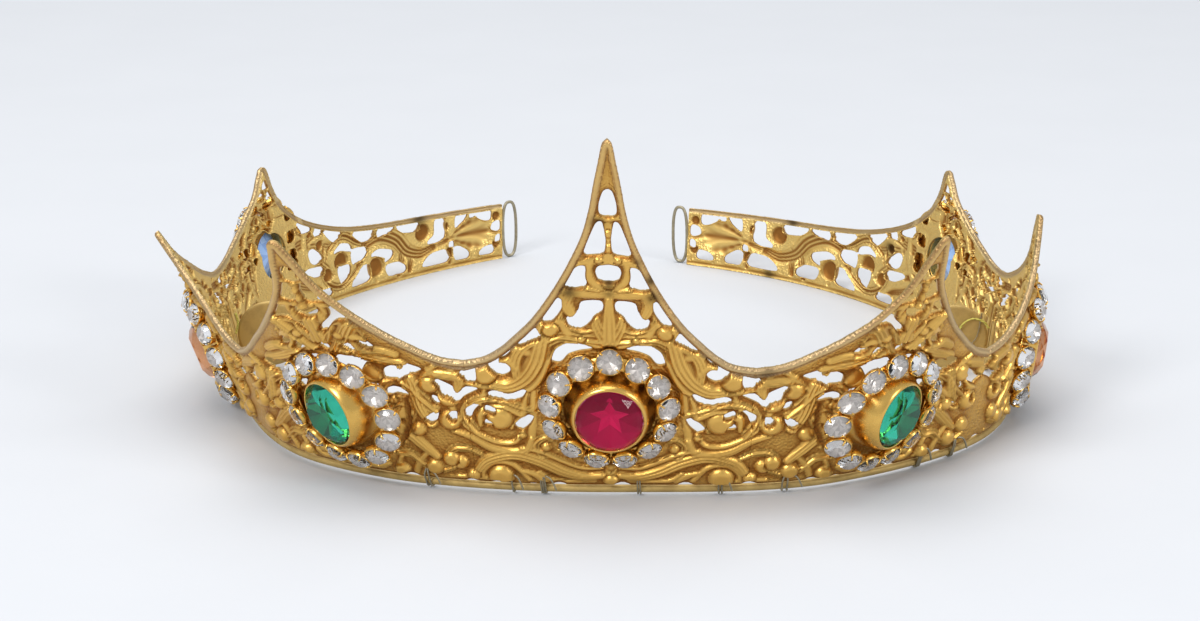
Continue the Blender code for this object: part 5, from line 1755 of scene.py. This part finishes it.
# Lit and shaded facet colours of each foil, and of the silver foil below: painted glints.
FOIL = {
    Slot.RUBY: FoilFinish("ruby_foil", (1.0, 0.30, 0.60), (0.26, 0.02, 0.09), 0.4, 0.4),
    Slot.EMERALD: FoilFinish("emerald_foil", (0.13, 0.66, 0.50), (0.01, 0.09, 0.06), 0.3, 0.6),
    Slot.AMBER: FoilFinish("amber_foil", (0.80, 0.42, 0.28), (0.32, 0.15, 0.08), 0.3, 0.6),
    Slot.SAPPHIRE: FoilFinish("sapphire_foil", (0.40, 0.60, 0.95), (0.20, 0.36, 0.75), 0.3, 0.2),
}
CLEAR_GLASS = GlassFinish("clear_glass_cut", (0.97, 0.96, 0.95), 0.01, 1.5)
SILVER_FOIL = FoilFinish("silver_foil", (0.86, 0.81, 0.77), (0.48, 0.44, 0.41), 0.28, 0.5)


def turned_mesh(name: str, profile: Sequence[Pair], sides: int) -> tuple[Array, Array]:
    """A ring or cup made by turning a closed outline of radius and height.

    Args:
        name: What it is, for the error message.
        profile: Radius and height, counterclockwise with radius to the right.
        sides: Steps round the axis.

    Returns:
        Points in millimetres and triangles.
    """
    outline = np.array(profile)
    if outline.ndim != 2:
        raise ValueError(f"{name} needs an outline of radius and height")
    size = len(outline)
    angle = np.arange(sides) * 2.0 * math.pi / sides
    x = outline[None, :, 0] * np.cos(angle)[:, None]
    y = outline[None, :, 0] * np.sin(angle)[:, None]
    z = np.broadcast_to(outline[None, :, 1], x.shape)
    points = np.stack([x, y, z], axis=-1).reshape(-1, 3)
    k, j = np.meshgrid(np.arange(sides), np.arange(size), indexing="ij")
    a = k * size + j
    b = ((k + 1) % sides) * size + j
    c = ((k + 1) % sides) * size + (j + 1) % size
    d = k * size + (j + 1) % size
    faces = np.concatenate(
        [np.stack([a, b, c], axis=-1).reshape(-1, 3), np.stack([a, c, d], axis=-1).reshape(-1, 3)]
    )
    p, q, r = (points[faces[:, i]] for i in range(3))
    keep = np.linalg.norm(np.cross(q - p, r - p), axis=1) > 1e-9
    return points, faces[keep]


# Which corners, reach and depth the points and the notches of the star have.
STAR_RINGS = ((0, 0.6, 0.36), (1, 0.27, 0.72))


@dataclass(frozen=True)
class BrilliantCut:
    """A round brilliant with eight-fold facets: girdle, table and depths as shares of its radius."""

    radius: float
    base: float
    crown: float
    table: float = 0.56
    star: float = 0.78
    star_rise: float = 0.62
    belt: float = 0.35

    def crown_mesh(self) -> tuple[Array, Array]:
        """The closed glass: a flat bottom, a belt and the cut crown, in millimetres."""
        ring = [self.ring(16, 1.0, 0.0, self.base), self.ring(16, 1.0, 0.0, self.base + self.belt)]
        top = self.base + self.belt
        star = self.ring(8, self.star, 0.5, top + self.crown * self.star_rise)
        table = self.ring(8, self.table, 0.0, top + self.crown)
        points = np.concatenate([[[0.0, 0.0, self.base]], *ring, star, table, [[0.0, 0.0, top + self.crown]]])
        low, high, stars, tables, middle = 1, 17, 33, 41, 49
        faces = []
        for k in range(16):
            m = (k + 1) % 16
            faces += [(0, low + m, low + k), (low + k, low + m, high + m), (low + k, high + m, high + k)]
        for k in range(8):
            m, before = (k + 1) % 8, (k - 1) % 8
            corner, between, after = high + 2 * k, high + 2 * k + 1, high + (2 * k + 2) % 16
            faces += [(stars + k, corner, between), (stars + k, between, after)]
            faces += [(tables + k, stars + before, corner), (tables + k, corner, stars + k)]
            faces += [(tables + k, stars + k, tables + m), (middle, tables + k, tables + m)]
        return points, np.array(faces)

    def foil_mesh(self, depth: float, star: bool = False) -> tuple[Array, Array, Array]:
        """The foil cup behind the glass.

        Args:
            depth: How deep its point lies under the girdle.
            star: Whether its facets draw a painted light star of five points.

        Returns:
            Points in millimetres, triangles, and the painted glint tone of each point of each facet.
        """
        top = self.base - 0.03
        outer = self.ring(16, 0.985, 0.0, top)
        mid = self.ring(8, 0.5, 0.5, top - depth * 0.55)
        points, faces, tones = [], [], []

        def facet(a: Array, b: Array, c: Array, tone: float) -> None:
            """Adds one triangle with points of its own."""
            first = len(points)
            points.extend([a, b, c])
            faces.append((first, first + 1, first + 2))
            tones.extend([tone] * 3)

        def glow(*corners: Array) -> float:
            """Painted glint tone of the ground round the star, dark above and lighter below."""
            return 0.08 + 0.42 * min(
                1.0, max(0.0, 0.35 - sum(c[1] for c in corners) / len(corners) / self.radius)
            )

        culet = np.array([0.0, 0.0, top - depth])
        if star:
            girdle = self.ring(10, 0.985, 0.5, top)
            arms = [
                self.ring(10, share, 0.5, top - depth * rise)[k % 2 :: 2]
                for k, share, rise in STAR_RINGS
            ]
            for k in range(5):
                inner, tip, after = arms[1][k - 1], arms[0][k], arms[1][k]
                facet(culet, tip, after, 0.78)
                facet(culet, inner, tip, 0.88)
                corner, between, beyond = girdle[2 * k], girdle[2 * k + 1], girdle[(2 * k + 2) % 10]
                for corners in (
                    (tip, corner, between),
                    (tip, between, after),
                    (after, between, beyond),
                    (after, beyond, arms[0][(k + 1) % 5]),
                ):
                    facet(*corners, glow(*corners))
            return np.array(points), np.array(faces), np.array(tones)
        for k in range(8):
            m = (k + 1) % 8
            # Lit and shaded facets alternate: painted glints.
            tone = 0.85 if k % 2 == 0 else 0.35
            facet(culet, mid[k], mid[m], tone)
            facet(mid[k], outer[2 * k], outer[2 * k + 1], 0.55 if k % 2 else 0.15)
            facet(mid[k], outer[2 * k + 1], outer[(2 * k + 2) % 16], 0.05 if k % 2 else 0.4)
            facet(mid[k], outer[(2 * k + 2) % 16], mid[m], 0.95 if k % 2 else 0.6)
        return np.array(points), np.array(faces), np.array(tones)

    def ring(self, count: int, share: float, phase: float, height: float) -> Array:
        """Points on a circle of a share of the radius."""
        angle = (np.arange(count) + phase) * 2.0 * math.pi / count
        reach = self.radius * share
        return np.stack([reach * np.cos(angle), reach * np.sin(angle), np.full(count, height)], axis=1)


def mesh_from(name: str, points: Array, faces: Array, smooth: bool, tones: dict[str, Array] | None = None):
    """A mesh of triangles that may be shaded flat."""
    mesh = make_mesh(name, points, faces, tones)
    if not smooth:
        mesh.shade_flat()
    return mesh


@dataclass(frozen=True)
class Setting:
    """One small clear stone's cup with its claws, about its own axis, in millimetres."""

    radius: float = 2.18
    wall: float = 0.13
    depth: float = 1.28
    claws: int = 4
    claw_width: float = 0.46

    def cup(self) -> tuple[Array, Array]:
        """The cup and its claws."""
        r, w = self.radius, self.wall
        outline = (
            (r * 0.62, 0.0),
            (r * 0.9, 0.0),
            (r + w, 0.35),
            (r + w + 0.04, self.depth - 0.1),
            (r + w - 0.06, self.depth),
            (r + 0.02, self.depth - 0.05),
            (r - 0.1, 0.6),
            (r * 0.6, 0.25),
        )
        points, faces = turned_mesh("cup", outline, 24)
        parts, bodies = [points], [faces]
        count = len(points)
        for k in range(self.claws):
            angle = (k + 0.5) * 2.0 * math.pi / self.claws
            claw, mesh = self.claw()
            turn = np.array([[math.cos(angle), -math.sin(angle), 0], [math.sin(angle), math.cos(angle), 0],
                             [0, 0, 1]])
            parts.append(claw @ turn.T)
            bodies.append(mesh + count)
            count += len(claw)
        return np.concatenate(parts), np.concatenate(bodies)

    def claw(self) -> tuple[Array, Array]:
        """One claw that rises outside the cup and bends in over the stone's edge."""
        r = self.radius + self.wall
        line = np.array([(r, 0.4), (r + 0.05, 1.0), (r + 0.02, 1.45), (r - 0.2, 1.78), (r - 0.55, 1.96)])
        thick = np.array([0.15, 0.16, 0.16, 0.15, 0.12])
        heading = np.gradient(line, axis=0)
        heading /= np.linalg.norm(heading, axis=1, keepdims=True)
        rings = []
        for k, (x, z) in enumerate(line):
            for j in range(8):
                angle = 2.0 * math.pi * j / 8
                side = math.sin(angle) * self.claw_width * (0.5 - 0.04 * k)
                off = math.cos(angle) * thick[k]
                rings.append((x + heading[k, 1] * off, side, z - heading[k, 0] * off))
        points = np.array(
            rings + [(line[0, 0], 0.0, line[0, 1]), (line[-1, 0] - 0.12, 0.0, line[-1, 1] - 0.01)]
        )
        faces = []
        for k in range(4):
            for j in range(8):
                n = (j + 1) % 8
                a, b, c, d = 8 * k + j, 8 * k + n, 8 * k + 8 + n, 8 * k + 8 + j
                faces += [(a, b, c), (a, c, d)]
        for j in range(8):
            n = (j + 1) % 8
            faces += [(40, n, j), (41, 32 + j, 32 + n)]
        faces = np.array(faces)
        centre = points.mean(axis=0)
        p, q, s = (points[faces[:, i]] for i in range(3))
        outward = (np.cross(q - p, s - p) * ((p + q + s) / 3 - centre)).sum()
        return points, faces if outward > 0 else faces[:, ::-1]


@dataclass
class Rosette:
    """A main stone in its collar, with a ring of thirteen small clear stones."""

    point: Point
    shape: BandShape
    count: int = 13
    ring: float = 9.75
    ring_up: float = 0.4
    turn_reach: float = 4.0
    tilt: float = math.radians(32.0)
    lift: float = 0.75
    stand: float = 0.6
    gem: BrilliantCut = field(default_factory=lambda: BrilliantCut(6.02, 4.35, 1.95, table=0.6, star=0.8))
    star_gem: BrilliantCut = field(default_factory=lambda: BrilliantCut(6.02, 4.35, 1.3, table=0.8, star=0.9))
    small: BrilliantCut = field(default_factory=lambda: BrilliantCut(2.2, 1.2, 0.8, belt=0.12))
    setting: Setting = field(default_factory=Setting)
    collar: tuple[Pair, ...] = (
        (5.3, 0.6),
        (7.9, 0.6),
        (8.05, 0.7),
        (8.05, 0.9),
        (7.85, 1.3),
        (7.64, 1.9),
        (7.42, 2.6),
        (7.16, 3.4),
        (6.9, 4.1),
        (6.64, 4.62),
        (6.34, 4.93),
        (6.16, 4.95),
        (6.07, 4.84),
        (6.04, 4.5),
        (6.02, 4.2),
        (5.7, 3.2),
        (5.35, 1.2),
    )

    def ring_tree(self) -> bpy.types.GeometryNodeTree:
        """The tree that sets a piece on each place of a ring: Count, Radius, Tilt, Lift and Piece go in."""
        made = bpy.data.node_groups.get("stone_ring")
        if made:
            return made
        plan = Plan.geometry(
            "stone_ring",
            (
                ("Count", "NodeSocketInt", 13),
                ("Radius", "NodeSocketFloat", 10.5),
                ("Tilt", "NodeSocketFloat", 0.5),
                ("Lift", "NodeSocketFloat", 1.0),
                ("Piece", "NodeSocketObject", None),
            ),
        )
        circle = plan.add("GeometryNodeMeshCircle")
        plan.join(plan.source, "Count", circle, "Vertices")
        plan.join(plan.source, "Radius", circle, "Radius")
        turn = plan.add("GeometryNodeTransform")
        turn.inputs["Rotation"].default_value = (0.0, 0.0, math.pi / 2.0)
        plan.join(circle, "Mesh", turn, "Geometry")
        offset = plan.add("ShaderNodeCombineXYZ")
        plan.join(plan.source, "Lift", offset, "Z")
        raise_up = plan.add("GeometryNodeSetPosition")
        plan.join(turn, "Geometry", raise_up, "Geometry")
        plan.join(offset, "Vector", raise_up, "Offset")
        number = plan.add("GeometryNodeInputIndex")
        step = plan.math("DIVIDE", 2.0 * math.pi, plan.source.outputs["Count"])
        angle = plan.math("MULTIPLY_ADD", number.outputs[0], step, math.pi / 2.0)
        spin = plan.add("ShaderNodeCombineXYZ")
        plan.join(plan.source, "Tilt", spin, "Y")
        plan.tree.links.new(angle, spin.inputs["Z"])
        piece = plan.add("GeometryNodeObjectInfo")
        plan.join(plan.source, "Piece", piece, "Object")
        copies = plan.add("GeometryNodeInstanceOnPoints")
        plan.join(raise_up, "Geometry", copies, "Points")
        plan.join(piece, "Geometry", copies, "Instance")
        plan.join(spin, "Vector", copies, "Rotation")
        plan.close(copies, "Instances")
        return plan.tree

    def ring_of(self, name: str, one: bpy.types.Mesh, finish: bpy.types.Material) -> bpy.types.Mesh:
        """Sets a copy of one piece on each place of the halo and bends the ring to the sheet.

        Args:
            name: Name of the mesh.
            one: The piece about its own axis, in millimetres.
            finish: Its material.

        Returns:
            The ring in metres, in place.
        """
        sample = bpy.data.objects.new(name + "_sample", one)
        bpy.context.scene.collection.objects.link(sample)
        inputs = {
            "Count": self.count,
            "Radius": self.ring,
            "Tilt": self.tilt,
            "Lift": self.lift,
            "Piece": sample,
            "Finish": finish,
        }
        made = evaluate_tree(name, bpy.data.meshes.new(name + "_seed"), self.ring_tree(), inputs)
        bpy.data.objects.remove(sample)
        self.bend(made)
        return made

    def bend(self, mesh: bpy.types.Mesh) -> None:
        """Moves a mesh drawn about the seat, in millimetres, onto the bent sheet, in metres."""
        places = np.empty(len(mesh.vertices) * 3)
        mesh.vertices.foreach_get("co", places)
        places = places.reshape(-1, 3)
        outward = places[:, 0] * self.point.hand
        slope = math.tan(math.radians(self.point.turn))
        raised = slope * (np.sqrt(outward**2 + self.turn_reach**2) - outward) / 2.0
        out = np.maximum(self.shape.wall + self.stand + places[:, 2] + raised, self.shape.wall + 0.15)
        moved = self.shape.place(
            self.point.seat_along + places[:, 0], self.point.seat + self.ring_up + places[:, 1], out
        )
        mesh.vertices.foreach_set("co", moved.astype(np.float32).ravel())
        mesh.update()

    def stand_up(self, points: Array, follow: float = 0.0) -> Array:
        """Puts points drawn about the seat on the seat's flat frame.

        Args:
            points: Places in millimetres.
            follow: Height under which a point follows the bent sheet.

        Returns:
            Places in metres.
        """
        matrix = np.array(self.shape.frame_at(self.point.seat_along, self.point.seat, self.shape.wall))
        turn = math.radians(self.point.turn) * self.point.hand
        spin = np.array([[math.cos(turn), 0, math.sin(turn)], [0, 1, 0],
                         [-math.sin(turn), 0, math.cos(turn)]])
        placed = points @ spin.T * METRES @ matrix[:3, :3].T + matrix[:3, 3]
        if follow:
            low = points[:, 2] < follow
            near = self.shape.place(
                self.point.seat_along + points[:, 0],
                self.point.seat + points[:, 1],
                self.shape.wall + np.maximum(points[:, 2] - 0.3, 0.3),
            )
            share = np.clip((points[:, 2] - follow) / 1.4, 0.0, 1.0)[:, None]
            placed = np.where(low[:, None], near, near * (1.0 - share) + placed * share)
        return placed

    def build(self, finishes: Finishes) -> None:
        """Builds the collar, the main stone with its foil, and the halo.

        Args:
            finishes: The finishes.
        """
        name = self.point.name
        stone = self.point.stone
        low = 1.0 - self.point.sink / 4.8
        bezel = [(r, h if h < 1.0 else 1.0 + (h - 1.0) * (4.95 * low - 1.0) / 3.95) for r, h in self.collar]
        points, faces = turned_mesh("collar", bezel, 96)
        mesh = mesh_from(f"{name}_collar_turned", self.stand_up(points, 1.2), faces, True)
        add_piece(mesh.name, mesh, finishes.plain_gilt, [f"{name}_collar"])
        down = np.array([0.0, 0.0, self.point.sink])
        gem = self.star_gem if stone is Slot.RUBY else self.gem
        points, faces = gem.crown_mesh()
        mesh = mesh_from(f"{name}_cut_stone", self.stand_up(points - down), faces, False)
        add_piece(mesh.name, mesh, finishes.glass[stone], [f"{name}_stone"])
        # The foil cup carries painted facet glints.
        points, faces, tones = gem.foil_mesh(2.2, stone is Slot.RUBY)
        mesh = mesh_from(f"{name}_foil_cup", self.stand_up(points - down), faces, False, {"facet": tones})
        add_piece(mesh.name, mesh, finishes.foil[stone], [f"{name}_stone"])
        node = f"{name}_halo"
        cup = mesh_from("cup", *self.setting.cup(), True)
        mesh = self.ring_of(f"{name}_halo_settings", cup, finishes.plain_gilt)
        add_piece(mesh.name, mesh, finishes.plain_gilt, [node])
        crown = mesh_from("small_stone", *self.small.crown_mesh(), False)
        mesh = self.ring_of(f"{name}_halo_stones", crown, finishes.clear)
        add_piece(mesh.name, mesh, finishes.clear, [node])
        # The small foils carry painted facet glints.
        points, faces, tones = self.small.foil_mesh(0.85)
        foil = mesh_from("small_foil", points, faces, False, {"facet": tones})
        mesh = self.ring_of(f"{name}_halo_foils", foil, finishes.clear_foil)
        add_piece(mesh.name, mesh, finishes.clear_foil, [node])
        mesh = self.plate(finishes.plain_gilt)
        add_piece(mesh.name, mesh, finishes.plain_gilt, [node])

    def plate(self, finish: bpy.types.Material) -> bpy.types.Mesh:
        """The gilt ring that carries the small stones."""
        slope = math.tan(self.tilt)
        rows = []
        for radius, height in ((8.7, 0.0), (10.6, 0.0), (10.7, 0.15), (10.6, 0.3), (8.7, 0.3), (8.6, 0.15)):
            rows.append((radius, self.lift - 0.2 + height - (radius - self.ring) * slope * 0.85))
        points, faces = turned_mesh("plate", rows, 78)
        mesh = mesh_from(f"{self.point.name}_halo_plate", points, faces, True)
        mesh.materials.append(finish)
        self.bend(mesh)
        return mesh


class Knotting(Enum):
    """How a tie wire holds the rod."""

    SINGLE = 1
    DOUBLE = 2
    TRIPLE = 3


@dataclass(frozen=True)
class Tie:
    """One tie wire: its place, its turns and its thickness."""

    along: float
    turns: Knotting
    radius: float
    spread: float
    tail: float


@dataclass
class Fastenings:
    """The rod, the wires that tie it, the loops at the ends and the discs inside."""

    shape: BandShape
    sweep: Sweep = field(default_factory=Sweep)
    rod_radius: float = 0.7
    rod_height: float = 1.36
    rod_out: float = 0.6
    rod_reach: float = 112.0
    hole_height: float = 4.6
    ties: tuple[Tie, ...] = (
        Tie(-33.0, Knotting.DOUBLE, 0.17, 1.5, 2.2),
        Tie(-17.5, Knotting.SINGLE, 0.18, 0.6, 1.6),
        Tie(-12.0, Knotting.TRIPLE, 0.17, 1.1, 2.0),
        Tie(5.0, Knotting.DOUBLE, 0.15, 0.9, 0.0),
        Tie(19.5, Knotting.DOUBLE, 0.17, 1.1, 1.6),
        Tie(31.0, Knotting.DOUBLE, 0.17, 1.8, 2.4),
        Tie(58.5, Knotting.TRIPLE, 0.19, 0.9, 1.8),
        Tie(67.0, Knotting.DOUBLE, 0.18, 0.9, 2.6),
    )
    loop_radius: float = 0.35
    loop_half_width: float = 1.75
    loop_half_height: float = 6.4
    disc_radius: float = 6.8
    disc_place: float = 121.0
    threads: dict[str, tuple[Pair, ...]] = field(
        default_factory=lambda: {
            "left": ((-6.9, 4.5), (-6.5, 2.5), (-7.0, 0.2)),
            "right": ((0.5, 0.5), (1.6, 3.0), (3.6, 4.2), (5.8, 3.6), (6.9, 2.2)),
        }
    )
    wisps: dict[str, tuple[Pair, ...]] = field(
        default_factory=lambda: {"right": ((5.4, 5.3), (4.6, 0.5), (2.7, -1.9))}
    )

    def rod_at(self, along: float) -> Array:
        """Middle of the rod at one place, in metres."""
        spot = self.shape.place(along, 0.0, self.rod_out)
        spot[2] = self.rod_height * METRES
        return spot

    def build(self, finishes: Finishes) -> None:
        """Builds every fastening.

        Args:
            finishes: The finishes.
        """
        run = np.linspace(-self.rod_reach, self.rod_reach, 161)
        path = self.shape.place(run, 0.0, self.rod_out)
        path[:, 2] = self.rod_height * METRES
        mesh = self.sweep.make("gilt_base_rod", [path], self.rod_radius, finishes.dull_gilt, 20)
        add_piece(mesh.name, mesh, finishes.dull_gilt, ["base_rod"])
        for number, tie in enumerate(self.ties, start=1):
            mesh = self.sweep.make(f"wrapped_wire_{number}", self.tie_paths(tie), tie.radius, finishes.wire,
                                   10)
            add_piece(mesh.name, mesh, finishes.wire, [f"tie_wire_{number}"])
        for side, sign in (("left", -1.0), ("right", 1.0)):
            mesh = self.sweep.make(f"strap_loop_{side}", self.loop_paths(sign), self.loop_radius,
                                   finishes.wire, 14)
            add_piece(mesh.name, mesh, finishes.wire, [f"end_loop_{side}"])
            self.build_disc(side, sign, finishes)

    def tie_paths(self, tie: Tie) -> list[Array]:
        """The wire of one tie, round the rod and through its hole, with a twisted tail.

        Args:
            tie: The tie.

        Returns:
            Its paths in metres.
        """
        along = tie.along
        outward = self.shape.place(along, 0.0, 1.0) - self.shape.place(along, 0.0, 0.0)
        outward[2] = 0.0
        outward /= np.linalg.norm(outward)
        around = (self.rod_radius + 0.06 + tie.radius) * METRES
        wall = self.shape.wall
        up = np.array([0.0, 0.0, 1.0])
        points = []
        turns = tie.turns.value
        for k in range(turns):
            for step in range(10):
                share = (k + step / 10.0) / turns
                run = along + (share - 0.5) * tie.spread
                rod = self.rod_at(run)
                hole = self.shape.place(along + (share - 0.5) * 0.5, self.hole_height, wall / 2.0)
                front = self.shape.place(run, self.hole_height - 1.4, wall + 0.75)
                back = self.shape.place(run, self.hole_height - 1.4, -0.45)
                stops = (
                    hole,
                    self.shape.place(along + (share - 0.5) * 0.6, self.hole_height - 0.2, wall + 0.5),
                    front,
                    rod + outward * around,
                    rod + outward * around * 0.72 - up * around * 0.72,
                    rod - up * around,
                    rod - outward * around * 0.72 - up * around * 0.72,
                    rod - outward * around,
                    back,
                    self.shape.place(along + (share - 0.5) * 0.6, self.hole_height - 0.2, -0.4),
                )
                points.append(stops[step])
        loop = smooth_path([tuple(p / METRES) for p in points + [points[0]]], 0.3) * METRES
        paths = [loop]
        if tie.tail:
            start = self.shape.place(along + 0.3, self.hole_height - 0.1, wall + 0.55)
            tail = []
            for k in range(9):
                t = k / 8.0
                run = along + 0.3 + tie.tail * t
                swing = 0.35 * math.sin(3.0 * t)
                tail.append(self.shape.place(run, self.hole_height - 0.1 - 2.6 * t * t + swing,
                                             wall + 0.9 + 0.5 * t))
            tail[0] = start
            paths.append(smooth_path([tuple(p / METRES) for p in tail], 0.3) * METRES)
        return paths

    def loop_paths(self, sign: float) -> list[Array]:
        """The loop at the end of one strap."""
        end = sign * self.shape.end_of(sign)
        top = float(self.shape.top_edge(np.array([end]))[0])
        origin = self.shape.place(end, top / 2.0, self.shape.wall / 2.0)
        ahead = origin - self.shape.place(end - sign * 2.0, top / 2.0, self.shape.wall / 2.0)
        ahead /= np.linalg.norm(ahead)
        middle = origin + ahead * (self.loop_half_width + self.loop_radius - 0.1) * METRES
        path = []
        for k in range(49):
            angle = 2.0 * math.pi * k / 48
            across = self.loop_half_width * np.sign(math.cos(angle)) * abs(math.cos(angle)) ** 0.7
            up = self.loop_half_height * np.sign(math.sin(angle)) * abs(math.sin(angle)) ** 0.8
            path.append(middle + ahead * across * METRES + np.array([0.0, 0.0, up * METRES]))
        path = np.array(path)
        path[:, 2] += (self.loop_radius + 0.05) * METRES - path[:, 2].min()
        path[-1] = path[0]
        return [path]

    def build_disc(self, side: str, sign: float, finishes: Finishes) -> None:
        """Builds the dished disc inside one side and the thread that holds it.

        Args:
            side: "left" or "right".
            sign: -1 for the left.
            finishes: The finishes.
        """
        wall = self.shape.place(sign * self.disc_place, 8.0, 0.0)
        centre = wall + np.array([-sign * (self.disc_radius + 0.45) * METRES, 0.0, 0.0])
        centre[2] = (self.disc_radius + 0.6) * METRES
        outline = ((0.0, 0.1), (6.6, 0.05), (6.78, 0.2), (6.8, 0.5), (6.65, 0.72), (6.2, 0.76), (0.0, 0.66))
        points, faces = turned_mesh("disc", outline, 72)
        placed = np.stack([points[:, 0], -points[:, 2], points[:, 1]], axis=1) * METRES + centre
        mesh = mesh_from(f"flat_disc_{side}", placed, faces, True)
        add_piece(mesh.name, mesh, finishes.dull_gilt, [f"inner_disc_{side}"])
        bits = [("thread", self.threads[side], 0.13, 0.16, finishes.thread)]
        if side in self.wisps:
            bits.append(("wisp", self.wisps[side], 0.07, 0.09, finishes.wire))
        for kind, path, radius, spread, finish in bits:
            spots = centre / METRES + np.array([(x, -1.0 - radius - spread, z) for x, z in path])
            line = smooth_path([tuple(spot) for spot in spots], 0.2) * METRES
            turn = np.linspace(0.0, 8.0 * math.pi, len(line))
            twist = np.stack([np.cos(turn), np.sin(turn), 0.3 * np.cos(turn)], axis=1) * spread * METRES
            mesh = self.sweep.make(f"disc_{kind}_{side}", [line + twist, line - twist], radius, finish, 8)
            add_piece(mesh.name, mesh, finish, [f"inner_disc_{side}"])


@dataclass
class Studio:
    """Camera at the photograph's angle, pale floor and soft light."""

    place: tuple[float, float, float] = (0.01112, -0.54737, 0.18273)
    heading: float = -0.02214
    dip: float = 0.29995
    roll: float = -0.00896
    lens: float = 85.2
    world: Colour = (0.82, 0.85, 0.89)
    world_strength: float = 0.74

    def build(self) -> None:
        """Builds the camera, the floor and the lights."""
        self.build_camera()
        self.build_floor()
        self.build_lights()

    def build_camera(self) -> None:
        """Sets the camera."""
        psi, dip, roll = self.heading, self.dip, self.roll
        right = np.array([math.cos(psi), -math.sin(psi), 0.0])
        ahead = np.array([math.cos(dip) * math.sin(psi), math.cos(dip) * math.cos(psi), -math.sin(dip)])
        up = np.array([math.sin(dip) * math.sin(psi), math.sin(dip) * math.cos(psi), math.cos(dip)])
        turned_right = right * math.cos(roll) + up * math.sin(roll)
        turned_up = up * math.cos(roll) - right * math.sin(roll)
        data = bpy.data.cameras.new("camera")
        data.lens = self.lens
        data.sensor_width = 36.0
        data.sensor_fit = "HORIZONTAL"
        data.clip_start = 0.01
        data.clip_end = 50.0
        camera = bpy.data.objects.new("camera", data)
        rows = [[turned_right[k], turned_up[k], -ahead[k], self.place[k]] for k in range(3)]
        camera.matrix_world = Matrix(rows + [[0.0, 0.0, 0.0, 1.0]])
        bpy.context.scene.collection.objects.link(camera)
        bpy.context.scene.camera = camera

    def build_floor(self) -> None:
        """Lays the pale floor."""
        mesh = bpy.data.meshes.new("pale_floor")
        mesh.from_pydata([(-6, -6, 0), (6, -6, 0), (6, 6, 0), (-6, 6, 0)], [], [(0, 1, 2, 3)])
        material, plan, shader = new_material("pale_paper")
        place = plan.add("ShaderNodeTexCoord")
        noise = plan.add("ShaderNodeTexNoise", Scale=30.0, Detail=4.0)
        plan.join(place, "Object", noise, "Vector")
        colour = plan.blend(noise.outputs[0], (0.51, 0.52, 0.54, 1.0), (0.53, 0.54, 0.56, 1.0))
        plan.tree.links.new(colour, shader.inputs["Base Color"])
        shader.inputs["Roughness"].default_value = 0.9
        shader.inputs["Specular IOR Level"].default_value = 0.1
        mesh.materials.append(material)
        floor = bpy.data.objects.new("pale_floor", mesh)
        bpy.context.scene.collection.objects.link(floor)

    def build_lights(self) -> None:
        """Hangs the soft lights and sets the pale surroundings."""
        world = bpy.data.worlds.new("pale_room")
        world.use_nodes = True
        back = next(n for n in world.node_tree.nodes if n.type == "BACKGROUND")
        back.inputs["Color"].default_value = rgba(self.world)
        back.inputs["Strength"].default_value = self.world_strength
        bpy.context.scene.world = world
        bpy.context.scene.view_settings.view_transform = "Standard"
        self.panel("high_panel", (-0.1, 0.1, 1.3), (0.0, 0.0, 0.0), 1.2, 15.0)
        self.panel("front_panel", (-0.7, -1.0, 0.9), (0.0, 0.0, 0.03), 0.45, 11.0)
        self.panel("side_panel", (0.9, -0.6, 0.5), (0.0, 0.0, 0.03), 0.3, 4.0)

    def panel(self, name: str, place: tuple[float, ...], aim: tuple[float, ...], size: float,
              power: float) -> None:
        """Hangs one square light that looks at a point."""
        data = bpy.data.lights.new(name, "AREA")
        data.size = size
        data.energy = power
        light = bpy.data.objects.new(name, data)
        ahead = np.array(aim) - np.array(place)
        ahead /= np.linalg.norm(ahead)
        side = np.cross(ahead, [0.0, 0.0, 1.0]) + np.array([1e-6, 0.0, 0.0])
        side /= np.linalg.norm(side)
        up = np.cross(side, ahead)
        rows = [[side[k], up[k], -ahead[k], place[k]] for k in range(3)]
        light.matrix_world = Matrix(rows + [[0.0, 0.0, 0.0, 1.0]])
        bpy.context.scene.collection.objects.link(light)


def build_finishes() -> Finishes:
    """Builds every finish once."""
    return Finishes(
        gilt=GILT.build(),
        plain_gilt=PLAIN_GILT.build(),
        dull_gilt=DULL_GILT.build(),
        wire=GREY_WIRE.build(),
        thread=OLIVE_THREAD.build(),
        clear=CLEAR_GLASS.build(),
        clear_foil=SILVER_FOIL.build(),
        glass={slot: finish.build() for slot, finish in GLASS.items()},
        foil={slot: finish.build() for slot, finish in FOIL.items()},
    )


def main() -> None:
    """Builds the crown's looks in order."""
    logging.basicConfig(level=logging.INFO, format="%(name)s: %(message)s")
    Studio().build()
    finishes = build_finishes()
    shape = BandShape()
    Band(shape).build(finishes.gilt)
    for point in POINTS:
        Rosette(point, shape).build(finishes)
    Fastenings(shape).build(finishes)


if __name__ == "__main__":
    main()
